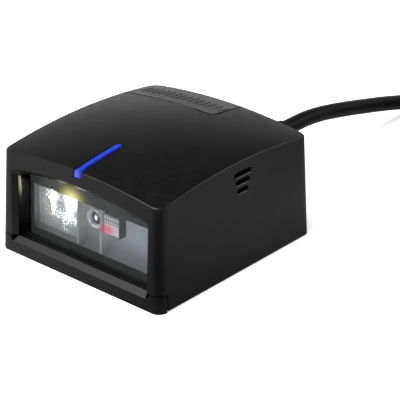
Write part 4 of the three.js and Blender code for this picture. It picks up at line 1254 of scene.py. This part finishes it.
KEPT_NODES = [
    (woven_mesh(), "vent_mesh"),
    (label_film(), "base_label"),
    (engine_grey, "engine_chassis"),
    (circuit_board(), "sensor_board", "main_board"),
    (sensor_silicon, "image_sensor"),
    (glowing("lamp_white", (1.0, 0.9, 0.65), 3.0), "illumination_led_1"),
    (glowing("lamp_cool", (0.9, 0.95, 1.0), 2.0), "illumination_led_2"),
    (glowing("aimer_red", (1.0, 0.05, 0.08), 2.0), "aimer_led"),
    (glowing("status_blue", (0.05, 0.1, 1.0), 2.0), "status_led"),
    (flex_film(), "engine_flex"),
    (pale_nylon, "flex_connector", "usb_tongue"),
    (chip_epoxy, "decoder_chip", "memory_chip", "buzzer"),
    (screw_steel, "board_crystal", *[name for name in NODES if "_screw_" in name]),
    (socket_black, "modular_socket"),
    (clear_plastic(), "modular_plug", "plug_latch"),
    (insert_brass, "mount_insert_left", "mount_insert_right"),
]
for look, *names in KEPT_NODES:
    for name in names:
        NODES[name].data.materials.clear()
        NODES[name].data.materials.append(look.material)
        soften(NODES[name], 0.05)

# ---- Floor, light and air ----


def make_floor():
    """White to the eye. Gloss sees it greyer, with a dark card's reflection at the front right."""
    look = Look("floor", (0.9, 0.9, 0.9), 0.9, Specular_IOR_Level=0.0)
    x, y, _ = look.axes()
    card = look.spread(look.spot(x, y, (50, -54), (44, 44)), 1.0, 0.0, 0, 0.75)
    left = look.total(look.spread(x, 0.56, 0.3, -34, 30), look.spread(y, 0.0, 0.13, 0, 60))
    in_gloss = look.product(left, card, look.spread(y, 0.72, 1.0, -60, -20))
    glossy = look.node("LightPath", {}).outputs["Is Glossy Ray"]
    white = look.spread(look.noise(8), 0.89, 0.91)
    change = look.product(glossy, look.math("SUBTRACT", in_gloss, white))
    look.set(Base_Color=look.total(white, change), Emission_Color=(1, 1, 1))
    look.set(Emission_Strength=look.product(look.math("SUBTRACT", 1.0, glossy), 0.6))
    reach, height = 6000, -0.05
    corners = [(-reach, -reach), (reach, -reach), (reach, reach), (-reach, reach)]
    floor = add_mesh("floor", [(x, y, height) for x, y in corners], [(0, 1, 2, 3)])
    floor.data.materials.append(look.material)


def area_light(name, azimuth, elevation, distance, size, power):
    """A soft box that looks at the scanner from a direction given in degrees."""
    data = bpy.data.lights.new(name, "AREA")
    data.shape = "RECTANGLE"
    data.size = data.size_y = size
    data.energy = power
    light = bpy.data.objects.new(name, data)
    bpy.context.scene.collection.objects.link(light)
    turn, lift = math.radians(azimuth), math.radians(elevation)
    away = Vector((math.sin(turn) * math.cos(lift), -math.cos(turn) * math.cos(lift), math.sin(lift)))
    light.location = Vector((0, 0, 0.012)) + away * distance
    light.rotation_mode = "QUATERNION"
    light.rotation_quaternion = away.to_track_quat("Z", "Y")


SKY = [(0.0, 1.3), (0.12, 1.05), (0.22, 0.62), (0.38, 0.16), (0.55, 0.05), (0.72, 0.015), (1.0, 0.015)]


def make_world():
    """Pale at the horizon and dark overhead, with a dark card at the front right."""
    world = bpy.data.worlds.new("studio")
    bpy.context.scene.world = world
    air = Network(world, "Generated")
    x, _, z = air.node("SeparateXYZ", {0: air.place}).outputs
    card = air.node("VectorMath", {0: air.place, 1: (0.588, -0.809, 0.0)}, operation="DOT_PRODUCT")
    strength = air.product(
        air.spread(card.outputs["Value"], 1.0, 0.0, 0.45, 0.8), air.spread(x, 1.0, 0.78, -0.7, -0.35))
    background = air.nodes["Background"].inputs
    air.join(air.colors(z, *[(height, (grey, grey, grey)) for height, grey in SKY]), background["Color"])
    air.join(strength, background["Strength"])


make_floor()
make_world()
area_light("main", -10, 62, 1.3, 1.0, 26)
area_light("sill", -58, 44, 1.0, 0.3, 0.6)
area_light("rear", 143, 32, 1.0, 0.3, 1.6)
bpy.context.scene.view_settings.view_transform = "Standard"
